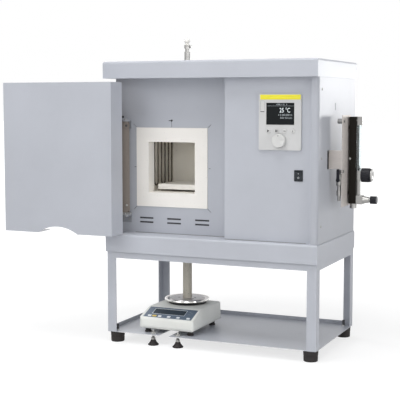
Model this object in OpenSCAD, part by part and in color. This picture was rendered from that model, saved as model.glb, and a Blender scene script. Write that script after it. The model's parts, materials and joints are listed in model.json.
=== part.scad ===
// High-temperature weighing furnace on an open stand, with its swing door open.
// Millimetres, +Z up, front towards -Y.
// Origin: middle of the whole object's box, on the surface that it stands on.

/* [Stand] */
// Width of the stand over its legs
stand_w = 650; // [600:1:720]
// Depth of the stand over its legs
stand_d = 372; // [340:1:420]
// Height from the floor to the top of the stand's rails
stand_h = 283; // [240:1:340]
// Height of the rubber feet under the stand
foot_h = 31; // [24:1:40]
// Diameter of the rubber feet
foot_d = 43; // [36:1:48]
// Flange width of the leg and rail angles
angle_w = 28; // [25:1:36]
// Thickness of the leg and rail angles
angle_t = 3; // [2:0.5:4]
// Sheet thickness of the tray shelf
tray_t = 2; // [1.5:0.5:3]
// Height of the lip along the tray's back and left edge
tray_lip = 11; // [8:1:16]
// Width of the slot in the tray's front edge
tray_slot_w = 34; // [24:1:44]
// Depth of the slot in the tray's front edge
tray_slot_d = 110; // [80:1:130]
// Distance between the two levelling feet at the slot
level_pitch = 80; // [70:1:100]

/* [Casing] */
// Sheet thickness of the casing
sheet_t = 1.5; // [1:0.5:2]
// Height of the plinth from the bottom of its skirt to its deck
plinth_h = 53; // [45:1:70]
// How far the plinth's skirt hangs over the stand's rails
plinth_drop = 9; // [6:1:18]
// How far the plinth stands proud of the stand at the front
plinth_front = 6; // [4:1:10]
// Height of the casing walls between plinth and hood
wall_h = 457.5; // [430:0.5:500]
// Height of the hood
hood_h = 49; // [44:1:60]
// How far the hood stands proud of the stand at the front
hood_front = 15; // [10:1:20]
// How far plinth and hood stand proud of the stand at sides and back
hood_side = 2.5; // [2:0.5:4]
// Bend radius of the hood's and plinth's top edges
edge_r = 6; // [4:1:8]
// Bend radius of the front corner posts
post_r = 10; // [7:1:12]
// Width of the front corner post
post_w = 20; // [17:1:26]
// How far the control panel is set back from the stand's front
panel_inset = 17; // [12:1:24]
// How far the face plate is set back from the stand's front
face_inset = 61; // [56:1:70]
// Clear width of the recess that the door closes
recess_w = 369; // [355:1:375]

/* [Chamber] */
// Distance of the chamber's axis from the left inner wall
chamber_side = 182.5; // [178:0.5:188]
// Distance of the chamber's axis behind the face plate
chamber_back = 110; // [105:1:120]
// Height of the chamber's middle above the plinth's deck
chamber_up = 197; // [190:1:205]
// Clear width and height of the opening
opening = 150; // [130:1:160]
// Clear width of the chamber between its side boards
chamber_w = 176; // [170:1:190]
// Depth of the chamber behind the collar
chamber_d = 150; // [140:1:160]
// Width of the ceramic collar
collar_w = 230; // [220:1:236]
// Height of the ceramic collar
collar_h = 234; // [226:1:238]
// Thickness of the ceramic collar
collar_t = 37; // [30:1:40]
// How far the collar stands proud of the face plate
collar_proud = 2; // [1:0.5:4]
// Thickness of the chamber's hot face boards
board_t = 30; // [22:1:34]
// Thickness of the backup insulation outside the boards
backup_t = 55; // [40:1:56]

/* [Heating elements] */
// Hairpins on each side
hairpins = 3; // [2:1:3]
// Diameter of the hot rods
rod_d = 4.5; // [4:0.5:6]
// Diameter of the terminal ends
terminal_d = 9; // [8:0.5:10]
// Distance between the two rods of a hairpin
rod_gap = 24; // [20:1:26]
// Distance from one hairpin to the next
rod_pitch = 48; // [42:1:50]
// Height of the hairpins' bottom bend above the chamber floor
rod_bottom = 15; // [10:1:25]

/* [Door] */
// Width of the door
door_w = 365; // [350:1:366]
// Height of the door
door_h = 444; // [420:1:450]
// Depth of the door
door_d = 67; // [60:1:68]
// Gap below the closed door
door_gap = 2.5; // [2:0.5:4]
// Sheet thickness of the door
door_t = 1.5; // [1:0.5:2]
// Length of the chord of the finger grip in the bottom edge
grip_w = 134; // [110:1:145]
// Height of the finger grip
grip_h = 20; // [14:1:24]
// Length of the swing arm from pivot to pivot
arm_len = 163; // [158:1:168]
// Angle the arm turns from open to closed
swing = 153.7; // [140:0.1:155]
// Distance of the arm's pivot from the left inner wall
pivot_side = 43.5; // [40:0.5:46]
// Distance of the arm's pivot in front of the face plate
pivot_front = 25; // [23:1:27]
// Diameter of the fixed pivot shaft
shaft_d = 10; // [8:1:12]
// Diameter of the arm's hinge column
column_d = 18; // [16:1:20]
// Thickness of the arm's top and bottom bars
bar_t = 10; // [8:1:12]
// Width of the arm's bars
bar_w = 20; // [18:1:22]
// Gap between the arm's bars and the ceramic collar
bar_clear = 8; // [6:1:10]
// Pitch of the guide chain
chain_pitch = 8; // [8:0.5:9]
// Teeth of each chain wheel
teeth = 11; // [10:1:12]
// Radial running clearance of pivots
run = 0.05; // [0.03:0.01:0.1]

/* [Controls] */
// Width of the controller's bezel
bezel_w = 123; // [118:1:130]
// Height of the controller's bezel
bezel_h = 154; // [150:1:162]
// How far the bezel stands proud of the panel
bezel_t = 5; // [4:0.5:7]
// Width of the display
lcd_w = 81; // [70:1:84]
// Height of the display
lcd_h = 60; // [50:1:64]
// Diameter of the four keys
key_d = 12; // [10:0.5:13]
// Travel of the four keys
key_travel = 1; // [0.5:0.1:1.2]
// Diameter of the jog dial
dial_d = 38; // [34:1:40]
// Height of the jog dial
dial_h = 13; // [10:1:16]
// Width of the mains switch frame
switch_w = 25; // [24:0.5:28]
// Height of the mains switch frame
switch_h = 31; // [30:0.5:34]

/* [Gas unit] */
// Distance of the gas unit's plate from the side panel
plate_out = 34.5; // [30:0.5:38]
// Width of the plate
plate_w = 85; // [75:1:95]
// Height of the plate
plate_h = 257; // [250:1:270]
// Thickness of the plate
plate_t = 1.5; // [1.5:0.5:2]
// Width of the flow meter's block
meter_w = 30; // [26:1:34]
// Depth of the flow meter's block
meter_d = 21; // [18:0.5:25]
// Height of the flow meter's block
meter_h = 246; // [240:1:252]
// Outer diameter of the measuring tube
glass_d = 11; // [10:0.5:12]
// Diameter of the regulating knob
flow_knob_d = 40; // [34:1:44]
// Length of the regulating knob
flow_knob_l = 28; // [24:1:34]
// Length of the two spacers between the plate and the flow meter
spacer_l = 4; // [2:1:8]

/* [Balance] */
// Width of the balance
bal_w = 178; // [165:1:185]
// Depth of the balance
bal_d = 216; // [205:1:225]
// Height of the balance's top above the tray
bal_h = 70; // [64:1:76]
// Height of the balance's feet
bal_foot_h = 13; // [9:1:15]
// Depth of the balance's sloped front
key_run = 64; // [50:1:66]
// Height of the balance's sloped front
key_drop = 24; // [18:1:30]
// Diameter of the weighing pan
pan_d = 140; // [130:1:150]
// Thickness of the weighing pan
pan_t = 10; // [8:1:12]
// Outer diameter of the ceramic tube
tube_d = 28; // [24:1:30]
// Wall of the ceramic tube
tube_wall = 4; // [3:0.5:5]
// Width and depth of the sample plate
sample_w = 132; // [120:1:136]
// Thickness of the sample plate
sample_t = 15; // [12:1:18]
// Gap between the sample plate and the chamber floor
sample_gap = 7; // [5:1:10]
// Travel of the weighing pan
pan_travel = 1; // [0.5:0.1:1.5]

/* [Hidden] */
$fn = 48;
touch = 0.3;
eps = 0.01;

// Planes of the stand and the casing
stand_x = stand_w / 2;
stand_y = stand_d / 2;
plinth_z0 = stand_h - plinth_drop;
deck_z = plinth_z0 + plinth_h;
hood_z = deck_z + wall_h;
top_z = hood_z + hood_h;
hood_x = stand_x + hood_side;
back_y = stand_y + hood_side - 1;
inner_x = stand_x - sheet_t;
post_y = -stand_y + 1;
panel_y = -stand_y + panel_inset;
face_y = -stand_y + face_inset;
recess_x = -inner_x + recess_w;
post_in_x = stand_x - post_w;
rear_y = stand_y - 1;
tray_z = foot_h + tray_t;

// Chamber
cx = -inner_x + chamber_side;
cy = face_y + chamber_back;
cz = deck_z + chamber_up;
mouth_y = face_y - collar_proud;
chamber_y0 = mouth_y + collar_t;
chamber_y1 = chamber_y0 + chamber_d;
floor_z = cz - opening / 2;
roof_z = cz + opening / 2;
board_x = chamber_w / 2 + board_t;
pack_x = board_x + backup_t;
pack_z0 = floor_z - board_t - backup_t;
pack_z1 = roof_z + board_t + backup_t;
pack_y0 = face_y + sheet_t + 1;
pack_y1 = chamber_y1 + board_t + backup_t - 5;
case_t = 1;
lead_d = tube_d + 12;

// Heating elements
rod_x = chamber_w / 2 - 7;
element_top = pack_z1 + case_t + 28;
element_y = (chamber_y0 + chamber_y1) / 2;

// Door mechanism: a fixed shaft carries the arm, and the arm carries the door
ax = -inner_x + pivot_side;
ay = face_y - pivot_front;
closed_dx = ax + arm_len;
low_bar_z = cz - collar_h / 2 - bar_clear - bar_t;
high_bar_z = cz + collar_h / 2 + bar_clear;
wheel_t = 2.8;
shelf_t = 4;
wheel_z = low_bar_z - 1.8 - wheel_t;
low_shelf_z = wheel_z - 1.8 - shelf_t;
top_shelf_z = high_bar_z + bar_t + 0.5;
dx = ax - cos(180 - swing) * arm_len;
dy = ay - sin(180 - swing) * arm_len;
door_x0 = dx - (closed_dx - (-inner_x + 1));
door_yf = dy - door_d + pivot_front - 0.5;
door_yb = door_yf + door_d;
door_cx = door_x0 + door_w / 2;
door_z0 = deck_z + door_gap;
plug_cx = dx - closed_dx + cx;

// Chain wheels
wheel_pr = chain_pitch / (2 * sin(180 / teeth));
roller_r = 2.4;
loop_len = 2 * arm_len + 2 * PI * wheel_pr;
links = round((2 * arm_len + teeth * chain_pitch) / chain_pitch / 2) * 2;

// Controller
ctl_x = 211;
ctl_z = hood_z - 123.5;
bezel_y = panel_y - bezel_t;
key_x = ctl_x + 2.5;
key_z = ctl_z - 24;
key_pitch = 23.7;
dial_x = ctl_x - 0.5;
dial_z = ctl_z - 50.7;
lcd_z = ctl_z + 23;
lcd_x = ctl_x + 1;
box_w = bezel_w - 12;
box_h = bezel_h - 24;
box_d = 42;
usb_x = ctl_x - bezel_w / 2 + 4.8;
usb_w = 10.4;
usb_h = 28;
usb_t = 1.6;
usb_z = ctl_z + 44;
sw_x = 265;
sw_z = ctl_z - bezel_h / 2 - 69.4;

// Gas unit
gas_x = stand_x + plate_out;
plate_y0 = -75;
plate_z0 = deck_z + 96;
tab_z0 = deck_z + 203;
tab_z1 = tab_z0 + 52;
meter_x = gas_x + plate_t + spacer_l;
meter_y0 = -22;
meter_z0 = plate_z0 + 6;
glass_x = meter_x + meter_d + glass_d / 2 + touch;
glass_y = meter_y0 + meter_w / 2;
knob_z = meter_z0 + 81;
knob_x = meter_x + meter_d + 14;
needle_x = meter_x + meter_d + 39.5;
needle_z = meter_z0 + 11;
head_z = meter_z0 + meter_h - 24;
meter_screws = [meter_z0 + 30, head_z - 6];
glass_z0 = knob_z + 12;
valve_x = gas_x - 8.5;
valve_y = -69;
valve_z = plate_z0 + 76;
valve_out = 9;

// Balance
bal_y0 = cy - 155;
bal_z0 = tray_z + bal_foot_h;
bal_z1 = tray_z + bal_h;
pan_z = bal_z1 + 5;
stem_d = 16;
foil_w = bal_w - 22;
foil_d = norm([key_run, key_drop]) - 12.3;
window_w = 103;
window_d = 27;
window_at = [-5, 6.5];
plate_z = floor_z + sample_gap;

// Levelling feet
lev_y = -stand_y + 15;

// Roof fitting
gland_d = 17;
gland_top = top_z + 53;

// Outer limits of the whole object at rest
lo_x = door_x0;
hi_x = needle_x + 18;
lo_y = door_yf;
hi_y = rear_y + 17;

// Helpers

// Moves the stand's frame to the object's frame
module place() { translate([-(lo_x + hi_x) / 2, -(lo_y + hi_y) / 2, 0]) children(); }

// A box from its lowest to its highest corner
module slab(a, b) {
    translate(a) cube([b[0] - a[0], b[1] - a[1], b[2] - a[2]]);
}

// A cylinder along X, Y or Z that starts at a point
module rod_x(p, d, l) { translate(p) rotate([0, 90, 0]) cylinder(d = d, h = l); }
module rod_y(p, d, l) { translate(p) rotate([-90, 0, 0]) cylinder(d = d, h = l); }
module rod_z(p, d, l) { translate(p) cylinder(d = d, h = l); }

// Outline of a folded cover: flat top, round shoulders, straight skirts
module shoulder(x0, x1, h, r) {
    translate([x0, 0]) square([x1 - x0, h - r]);
    translate([x0 + r, 0]) square([x1 - x0 - 2 * r, h]);
    for (x = [x0 + r, x1 - r]) translate([x, h - r]) circle(r);
}

// Solid of a folded cover, mitred at its corners
module cover(hx, y0, y1, z0, h, r) {
    translate([0, 0, z0]) intersection() {
        rotate([90, 0, 0]) translate([0, 0, -y1]) linear_extrude(y1 - y0) shoulder(-hx, hx, h, r);
        rotate([90, 0, 90]) translate([0, 0, -hx]) linear_extrude(2 * hx) shoulder(y0, y1, h, r);
    }
}

// Rectangle with round corners
module round_rect(w, h, r) {
    square([w - 2 * r, h], center = true);
    square([w, h - 2 * r], center = true);
    for (x = [-1, 1], y = [-1, 1]) translate([x * (w / 2 - r), y * (h / 2 - r)]) circle(r);
}

// Plate with round corners that faces the front, from y0 to y1
module front_plate(x, z, w, h, r, y0, y1) {
    translate([x, y1, z]) rotate([90, 0, 0]) linear_extrude(y1 - y0) round_rect(w, h, r);
}

// Angle section leg in one of the four corners
module leg(sx, sy, z0, z1) {
    translate([sx * stand_x, sy * stand_y, z0]) mirror([sx > 0 ? 1 : 0, 0, 0])
        mirror([0, sy > 0 ? 1 : 0, 0]) difference() {
            cube([angle_w, angle_w, z1 - z0]);
            translate([angle_t, angle_t, -1]) cube([angle_w, angle_w, z1 - z0 + 2]);
        }
}

// Stand

module rubber_feet() {
    color("#2a2425") {
        for (sx = [-1, 1], sy = [-1, 1])
            translate([sx * (stand_x - foot_d / 2), sy * (stand_y - foot_d / 2), 0]) {
                cylinder(d1 = foot_d - 3, d2 = foot_d, h = foot_h);
            }
        for (sx = [-1, 1], y = [bal_y0 + 24, bal_y0 + bal_d - 30])
            translate([cx + sx * (bal_w / 2 - 20), y, tray_z]) cylinder(d = 16, h = bal_foot_h);
    }
}

module stand_legs() {
    color("#bcc0c9") for (sx = [-1, 1], sy = [-1, 1]) leg(sx, sy, tray_z, stand_h - angle_w);
}

// Top frame of four angle rails, mitred into one welded ring
module stand_rails() {
    color("#bcc0c9") difference() {
        slab([-stand_x, -stand_y, stand_h - angle_w], [stand_x, stand_y, stand_h]);
        slab([-stand_x + angle_t, -stand_y + angle_t, stand_h - angle_w - 1],
             [stand_x - angle_t, stand_y - angle_t, stand_h - angle_t]);
        slab([-stand_x + angle_w, -stand_y + angle_w, stand_h - angle_w - 1],
             [stand_x - angle_w, stand_y - angle_w, stand_h + 1]);
    }
}

// Shelf of one sheet: lips at the back and the left, corners notched round the legs,
// a slot in the front edge and two holes for the levelling feet
module tray_shelf() {
    color("#b9bfc6") difference() {
        union() {
            slab([-stand_x, -stand_y, foot_h], [stand_x, stand_y, tray_z]);
            slab([-stand_x + angle_w + 1, stand_y - tray_t, foot_h],
                 [stand_x - angle_w - 1, stand_y, tray_z + tray_lip]);
            slab([-stand_x, -stand_y + angle_w + 1, foot_h],
                 [-stand_x + tray_t, stand_y - angle_w - 1, tray_z + tray_lip]);
        }
        slab([cx - tray_slot_w / 2, -stand_y - 1, foot_h - 1],
             [cx + tray_slot_w / 2, -stand_y + tray_slot_d, tray_z + 1]);
        for (s = [-1, 1]) rod_z([cx + s * level_pitch / 2, lev_y, foot_h - 1], 8.6, tray_t + 2);
        for (sx = [-1, 1], sy = [-1, 1])
            rod_z([sx * (stand_x - foot_d / 2), sy * (stand_y - foot_d / 2), foot_h - 1], 6.4, 9);
    }
}

// Casing

// The plinth is a low box of folded sheet with a bottom plate on the rails
module plinth() {
    front = -stand_y - plinth_front;
    color("#bcc0c9") difference() {
        cover(hood_x, front, back_y, plinth_z0, plinth_h, edge_r);
        slab([-hood_x + sheet_t, front + sheet_t, plinth_z0 - 1],
             [hood_x - sheet_t, back_y - sheet_t, stand_h]);
        cover(hood_x - sheet_t, front + sheet_t, back_y - sheet_t, stand_h + sheet_t,
              plinth_h - plinth_drop - 2 * sheet_t, edge_r - sheet_t);
        rod_z([cx, cy, stand_h - 1], lead_d, plinth_h);
    }
}

// The hood is a folded lid with a soffit over the recess and a flange on the walls
module hood() {
    front = -stand_y - hood_front;
    color("#c3c6ce") difference() {
        cover(hood_x, front, back_y, hood_z, hood_h, edge_r);
        cover(hood_x - sheet_t, front + sheet_t, back_y - sheet_t, hood_z + sheet_t,
              hood_h - 2 * sheet_t, edge_r - sheet_t);
        slab([-hood_x + 14, face_y + 2 * sheet_t, hood_z - 1],
             [hood_x - 14, back_y - 14, hood_z + sheet_t + 1]);
        rod_z([cx, cy, top_z - sheet_t - 1], gland_d + 0.6, sheet_t + 2);
    }
}

// Plan outline of the right wall: rear end, wall, round corner post and return
module post_wall() {
    translate([stand_x - sheet_t, post_y + post_r]) square([sheet_t, rear_y - post_y - post_r]);
    translate([stand_x - post_r, post_y + post_r]) difference() {
        circle(post_r);
        circle(post_r - sheet_t);
        translate([-2 * post_r, -2 * post_r]) square([2 * post_r, 4 * post_r]);
        translate([-2 * post_r, 0]) square([4 * post_r, 2 * post_r]);
    }
    translate([post_in_x, post_y]) square([post_w - post_r, sheet_t]);
    translate([post_in_x, post_y]) square([sheet_t, panel_y - post_y + 12]);
}

module side_panel_right() {
    color("#e8e9ee") difference() {
        translate([0, 0, deck_z]) linear_extrude(wall_h) post_wall();
        slab([stand_x - 5, -29, deck_z + 366], [stand_x + 5, -25, deck_z + 386]);
        for (z = [48, 235, 424]) rod_x([stand_x - 5, -154, deck_z + z], 4.2, 10);
        for (z = [tab_z0 + 13, tab_z1 - 13]) rod_x([stand_x - 5, plate_y0 + 12, z], 4.2, 10);
        slab([stand_x - 5, plate_y0 - 24, tab_z0 - touch], [stand_x + 5, plate_y0 + touch, tab_z1 + touch]);
    }
}

// The left wall ends at the face plate, where the closed door forms the corner
module side_panel_left() {
    color("#bcc0c9") difference() {
        slab([-stand_x, face_y, deck_z], [-inner_x, rear_y, hood_z]);
        for (z = [48, 235, 424]) rod_x([-stand_x - 5, -95, deck_z + z], 4.2, 10);
    }
}

// Rear wall with two fields of cooling slots and the hole of the mains gland
module rear_panel() {
    color("#bcc0c9") difference() {
        slab([-inner_x, rear_y - sheet_t, deck_z], [inner_x, rear_y, hood_z]);
        for (x = [-230, 120], i = [0:7])
            slab([x, rear_y - 5, deck_z + 60 + i * 12], [x + 120, rear_y + 5, deck_z + 65 + i * 12]);
        for (i = [0:5])
            slab([-200, rear_y - 5, hood_z - 70 + i * 9], [60, rear_y + 5, hood_z - 66 + i * 9]);
        rod_y([250, rear_y - 5, deck_z + 40], 20.4, 10);
    }
}

// Mains gland on the rear wall, with its lock nut inside
module rear_fittings() {
    color("#2c2c2e") translate([250, 0, deck_z + 40]) rotate([-90, 0, 0]) difference() {
        union() {
            translate([0, 0, rear_y - sheet_t - 5]) cylinder(d = 27, h = 5, $fn = 6);
            translate([0, 0, rear_y - sheet_t - 5]) cylinder(d = 20, h = 12);
            translate([0, 0, rear_y]) cylinder(d = 27, h = 5, $fn = 6);
            translate([0, 0, rear_y + 5]) cylinder(d = 23, h = 12);
        }
        translate([0, 0, rear_y - 20]) cylinder(d = 11, h = 60);
    }
}

// Front of the control side, with the recess' right wall folded from the same sheet
module control_panel() {
    color("#bcc3cb") difference() {
        union() {
            slab([recess_x, panel_y, deck_z], [post_in_x - touch, panel_y + sheet_t, hood_z]);
            slab([recess_x, panel_y, deck_z], [recess_x + sheet_t, face_y, hood_z]);
            slab([post_in_x - touch - sheet_t, panel_y, deck_z], [post_in_x - touch, panel_y + 12, hood_z]);
        }
        slab([ctl_x - box_w / 2 - 1, panel_y - 5, ctl_z - box_h / 2 - 1],
             [ctl_x + box_w / 2 + 1, panel_y + 5, ctl_z + box_h / 2 + 1]);
        slab([sw_x - switch_w / 2 + 1.5, panel_y - 5, sw_z - switch_h / 2 + 1.5],
             [sw_x + switch_w / 2 - 1.5, panel_y + 5, sw_z + switch_h / 2 - 1.5]);
    }
}

// Face plate behind the door: square hole for the collar, relief slits that let the
// sheet grow when hot, and three pairs of air slots
module face_plate() {
    slit = 1.4;
    color("#aab0b9") difference() {
        slab([-inner_x, face_y, deck_z], [recess_x + sheet_t, face_y + sheet_t, hood_z]);
        slab([cx - collar_w / 2 - touch, face_y - 5, cz - collar_h / 2 - touch],
             [cx + collar_w / 2 + touch, face_y + 5, cz + collar_h / 2 + touch]);
        for (sx = [-1, 1], sz = [-1, 1])
            translate([cx + sx * collar_w / 2, face_y, cz + sz * collar_h / 2])
                rotate([0, -atan2(sz, sx), 0]) slab([-1, -5, -slit / 2], [15, 5, slit / 2]);
        for (sx = [-1, 1]) slab([cx + sx * (collar_w / 2 + 4) - 5, face_y - 5, cz - slit / 2],
                                [cx + sx * (collar_w / 2 + 4) + 5, face_y + 5, cz + slit / 2]);
        slab([cx - slit / 2, face_y - 5, cz + collar_h / 2 - 1],
             [cx + slit / 2, face_y + 5, cz + collar_h / 2 + 17]);
        rod_y([cx, face_y - 5, cz + collar_h / 2 + 21], 5, 10);
        for (i = [-1, 0, 1], z = [32.3, 44.9])
            slab([cx + 6.8 + i * 90.5 - 22.5, face_y - 5, deck_z + z - 2.5],
                 [cx + 6.8 + i * 90.5 + 22.5, face_y + 5, deck_z + z + 2.5]);
    }
}

// Insulation

// Collar: ceramic frame whose front face the door's plug closes against
module collar() {
    color("#ebe7e1") difference() {
        slab([cx - collar_w / 2, mouth_y, cz - collar_h / 2],
             [cx + collar_w / 2, chamber_y0, cz + collar_h / 2]);
        slab([cx - opening / 2, mouth_y - 1, floor_z], [cx + opening / 2, chamber_y0 + 1, roof_z]);
    }
}

// Two side boards and the rear board round the chamber
module chamber_wall_boards() {
    color("#9a9485") {
        for (s = [-1, 1]) slab([cx + (s < 0 ? -board_x : chamber_w / 2), chamber_y0, floor_z],
                               [cx + (s < 0 ? -chamber_w / 2 : board_x), chamber_y1 + board_t, roof_z]);
        slab([cx - chamber_w / 2, chamber_y1, floor_z], [cx + chamber_w / 2, chamber_y1 + board_t, roof_z]);
    }
}

// Places of all rods, as [side, y]
rods = [for (s = [-1, 1], i = [0:hairpins - 1], e = [-1, 1])
        [s, element_y + (i - (hairpins - 1) / 2) * rod_pitch + e * rod_gap / 2]];

module chamber_roof_board() {
    color("#cfc9bd") difference() {
        slab([cx - board_x, chamber_y0, roof_z], [cx + board_x, chamber_y1 + board_t, roof_z + board_t]);
        for (r = rods) rod_z([cx + r[0] * rod_x, r[1], roof_z - 1], terminal_d + 2, board_t + 2);
        rod_z([cx, cy, roof_z - 1], 9, board_t + 2);
    }
}

module chamber_floor_board() {
    color("#e4dfd6") difference() {
        slab([cx - board_x, chamber_y0, floor_z - board_t], [cx + board_x, chamber_y1 + board_t, floor_z]);
        rod_z([cx, cy, floor_z - board_t - 1], lead_d, board_t + 2);
    }
}

// Backup layer: one box of soft board round the hot face boards, open at the front
module backup_insulation() {
    color("#e9e5da") difference() {
        slab([cx - pack_x, pack_y0, pack_z0], [cx + pack_x, pack_y1, pack_z1]);
        slab([cx - board_x, chamber_y0 - 1, floor_z - board_t],
             [cx + board_x, chamber_y1 + board_t, roof_z + board_t]);
        slab([cx - collar_w / 2, pack_y0 - 1, cz - collar_h / 2],
             [cx + collar_w / 2, chamber_y0, cz + collar_h / 2]);
        for (r = rods) rod_z([cx + r[0] * rod_x, r[1], roof_z], terminal_d + 2, board_t + backup_t + 5);
        rod_z([cx, cy, roof_z], 9, board_t + backup_t + 5);
        rod_z([cx, cy, pack_z0 - 1], lead_d, backup_t + 5);
    }
}

// Inner casing of thin sheet that holds the insulation clear of the outer walls
module inner_casing() {
    color("#c9ccd0") difference() {
        slab([cx - pack_x - case_t, pack_y0, deck_z],
             [cx + pack_x + case_t, pack_y1 + case_t, pack_z1 + case_t]);
        slab([cx - pack_x, pack_y0 - 1, pack_z0], [cx + pack_x, pack_y1, pack_z1]);
        slab([cx - pack_x, pack_y0 - 1, deck_z - 1], [cx + pack_x, pack_y1, pack_z0 - case_t]);
        for (s = [-1, 1]) slab([cx + s * rod_x - 14, chamber_y0, pack_z1 - 1],
                               [cx + s * rod_x + 14, chamber_y1, pack_z1 + case_t + 1]);
        rod_z([cx, cy, pack_z1 - 1], 9, case_t + 3);
        rod_z([cx, cy, deck_z - 1], lead_d, pack_z0 - deck_z + 2);
    }
}

// Hairpin: two hot rods, a half ring below and two thick terminals above
module hairpin() {
    r = rod_gap / 2;
    z0 = floor_z + rod_bottom + rod_d / 2 + r;
    translate([0, 0, z0]) rotate([90, 0, 90]) rotate_extrude(angle = -180)
        translate([r, 0]) circle(d = rod_d);
    for (s = [-1, 1]) {
        translate([0, s * r, z0]) cylinder(d = rod_d, h = roof_z + 12 - z0);
        translate([0, s * r, roof_z + 12]) cylinder(d = terminal_d, h = element_top - roof_z - 12);
    }
}

module heating_elements() {
    color("#4a4438") for (s = [-1, 1], i = [0:hairpins - 1])
        translate([cx + s * rod_x, element_y + (i - (hairpins - 1) / 2) * rod_pitch, 0]) hairpin();
}

// Ceramic bridges that the terminals hang in, on top of the inner casing
module element_holders() {
    color("#efeae0") for (s = [-1, 1]) difference() {
        slab([cx + s * rod_x - 20, chamber_y0 + 2, pack_z1 + case_t],
             [cx + s * rod_x + 20, chamber_y1 - 2, pack_z1 + case_t + 12]);
        for (r = rods) if (r[0] == s) rod_z([cx + s * rod_x, r[1], pack_z1], terminal_d, 20);
    }
}

// Aluminium clamps that join neighbouring terminals in series
module element_clamps() {
    z0 = element_top - 12;
    color("#c8cacc") for (s = [-1, 1]) {
        for (i = [0:hairpins - 2]) difference() {
            y = element_y + (i - (hairpins - 1) / 2) * rod_pitch + rod_gap / 2;
            slab([cx + s * rod_x - 8, y - 8, z0],
                 [cx + s * rod_x + 8, y + rod_pitch - rod_gap + 8, z0 + 8]);
            for (yy = [y, y + rod_pitch - rod_gap]) rod_z([cx + s * rod_x, yy, z0 - 1], terminal_d, 12);
        }
        for (e = [-1, 1]) difference() {
            y = element_y + e * ((hairpins - 1) / 2 * rod_pitch + rod_gap / 2);
            slab([cx + s * rod_x - 8, y - 8, z0], [cx + s * rod_x + 8, y + 8, z0 + 8]);
            rod_z([cx + s * rod_x, y, z0 - 1], terminal_d, 12);
        }
    }
}

// Door mechanism

// Two shelves on the face plate that hold the fixed shaft
module hinge_brackets() {
    color("#aab0b9") for (z = [low_shelf_z, top_shelf_z]) difference() {
        union() {
            slab([ax - 14, ay, z], [ax + 6, face_y, z + shelf_t]);
            rod_z([ax, ay, z], 28, shelf_t);
            slab([ax - 24, face_y - 3, z - 22], [ax + 6, face_y, z + shelf_t]);
        }
        rod_z([ax, ay, z - 1], shaft_d, shelf_t + 2);
    }
}

// Fixed shaft with its chain wheel. The rounds of the teeth end just short of the
// rollers, because the chain lies still on the arm here.
module swing_shaft() {
    color("#9a9c9e") {
        rod_z([ax, ay, low_shelf_z - 4], shaft_d, top_shelf_z + shelf_t + 7 - low_shelf_z);
        translate([ax, ay, wheel_z]) chain_wheel();
    }
}

// Chain wheel: a disc with a round notch for each roller
module chain_wheel() {
    tip = wheel_pr - roller_r - touch;
    linear_extrude(wheel_t) difference() {
        circle(tip);
        for (i = [0:teeth - 1]) rotate(i * 360 / teeth) translate([tip + 1.2, 0]) circle(r = 2.6, $fn = 24);
    }
}

// Point of the chain's path at a distance along it, with 0 at the fixed wheel's far side
function path_at(s, l, r) =
    let (a = PI * r, t = s % (2 * l + 2 * a))
    t < l ? [t, -r] :
    t < l + a ? [l + r * sin((t - l) / r * 180 / PI), -r * cos((t - l) / r * 180 / PI)] :
    t < 2 * l + a ? [l - (t - l - a), r] :
    [-r * sin((t - 2 * l - a) / r * 180 / PI), r * cos((t - 2 * l - a) / r * 180 / PI)];

// One link plate between two pins
module link_plate(p, q, w) {
    v = q - p;
    for (c = [p, q]) translate(c) circle(d = w, $fn = 16);
    translate(p) rotate(atan2(v[1], v[0])) translate([0, -w * 0.36]) square([norm(v), w * 0.72]);
}

// Guide chain: inner and outer links by turns, rollers on every pin
module door_chain() {
    pins = [for (i = [0:links - 1]) path_at(i * loop_len / links, arm_len, wheel_pr)];
    mid = wheel_z + wheel_t / 2;
    color("#6f7173") translate([ax, ay, mid]) rotate(360 - swing) {
        for (i = [0:links - 1]) {
            p = pins[i];
            q = pins[(i + 1) % links];
            inner = i % 2 == 0;
            for (s = [-1, 1]) translate([0, 0, s * (inner ? 1.9 : 2.6) - 0.35])
                linear_extrude(0.7) link_plate(p, q, 5.6);
            translate([p[0], p[1], -1.6]) cylinder(r = roller_r, h = 3.2, $fn = 20);
        }
    }
}

// The arm's frame in its own plane: pivot at the origin, door pivot along +X
module arm_frame() {
    difference() {
        union() {
            rod_z([0, 0, low_bar_z], column_d, high_bar_z + bar_t - low_bar_z);
            for (z = [low_bar_z, high_bar_z]) {
                slab([0, -bar_w / 2, z], [arm_len, bar_w / 2, z + bar_t]);
                rod_z([arm_len, 0, z], bar_w, bar_t);
                rod_z([0, 0, z], bar_w, bar_t);
            }
            slab([-11, 7, low_bar_z + 4], [20, 10, high_bar_z + bar_t - 4]);
            rod_y([-2, 10, high_bar_z - 2.3], 20, 3);
            rod_y([-2, 10, low_bar_z + 22], 8, 2.4);
        }
        rod_z([0, 0, low_bar_z - 1], shaft_d + 2 * run, high_bar_z + bar_t - low_bar_z + 2);
        for (z = [low_bar_z, high_bar_z]) rod_z([arm_len, 0, z - 1], shaft_d + 2 * run, bar_t + 2);
    }
}

module swing_arm() {
    color("#8d8a85") translate([ax, ay, 0]) rotate(360 - swing) arm_frame();
}

// Door casing: front sheet with four folded walls, the finger grip cut right through the bottom
module door_shell() {
    grip_r = (grip_w * grip_w / 4 + grip_h * grip_h) / (2 * grip_h);
    color("#bdc1ca") difference() {
        slab([door_x0, door_yf, door_z0], [door_x0 + door_w, door_yb, door_z0 + door_h]);
        slab([door_x0 + door_t, door_yf + door_t, door_z0 + door_t],
             [door_x0 + door_w - door_t, door_yb + 1, door_z0 + door_h - door_t]);
        rod_y([door_cx, door_yf - 1, door_z0 + grip_h - grip_r], 2 * grip_r, door_d + 2);
    }
}

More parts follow.
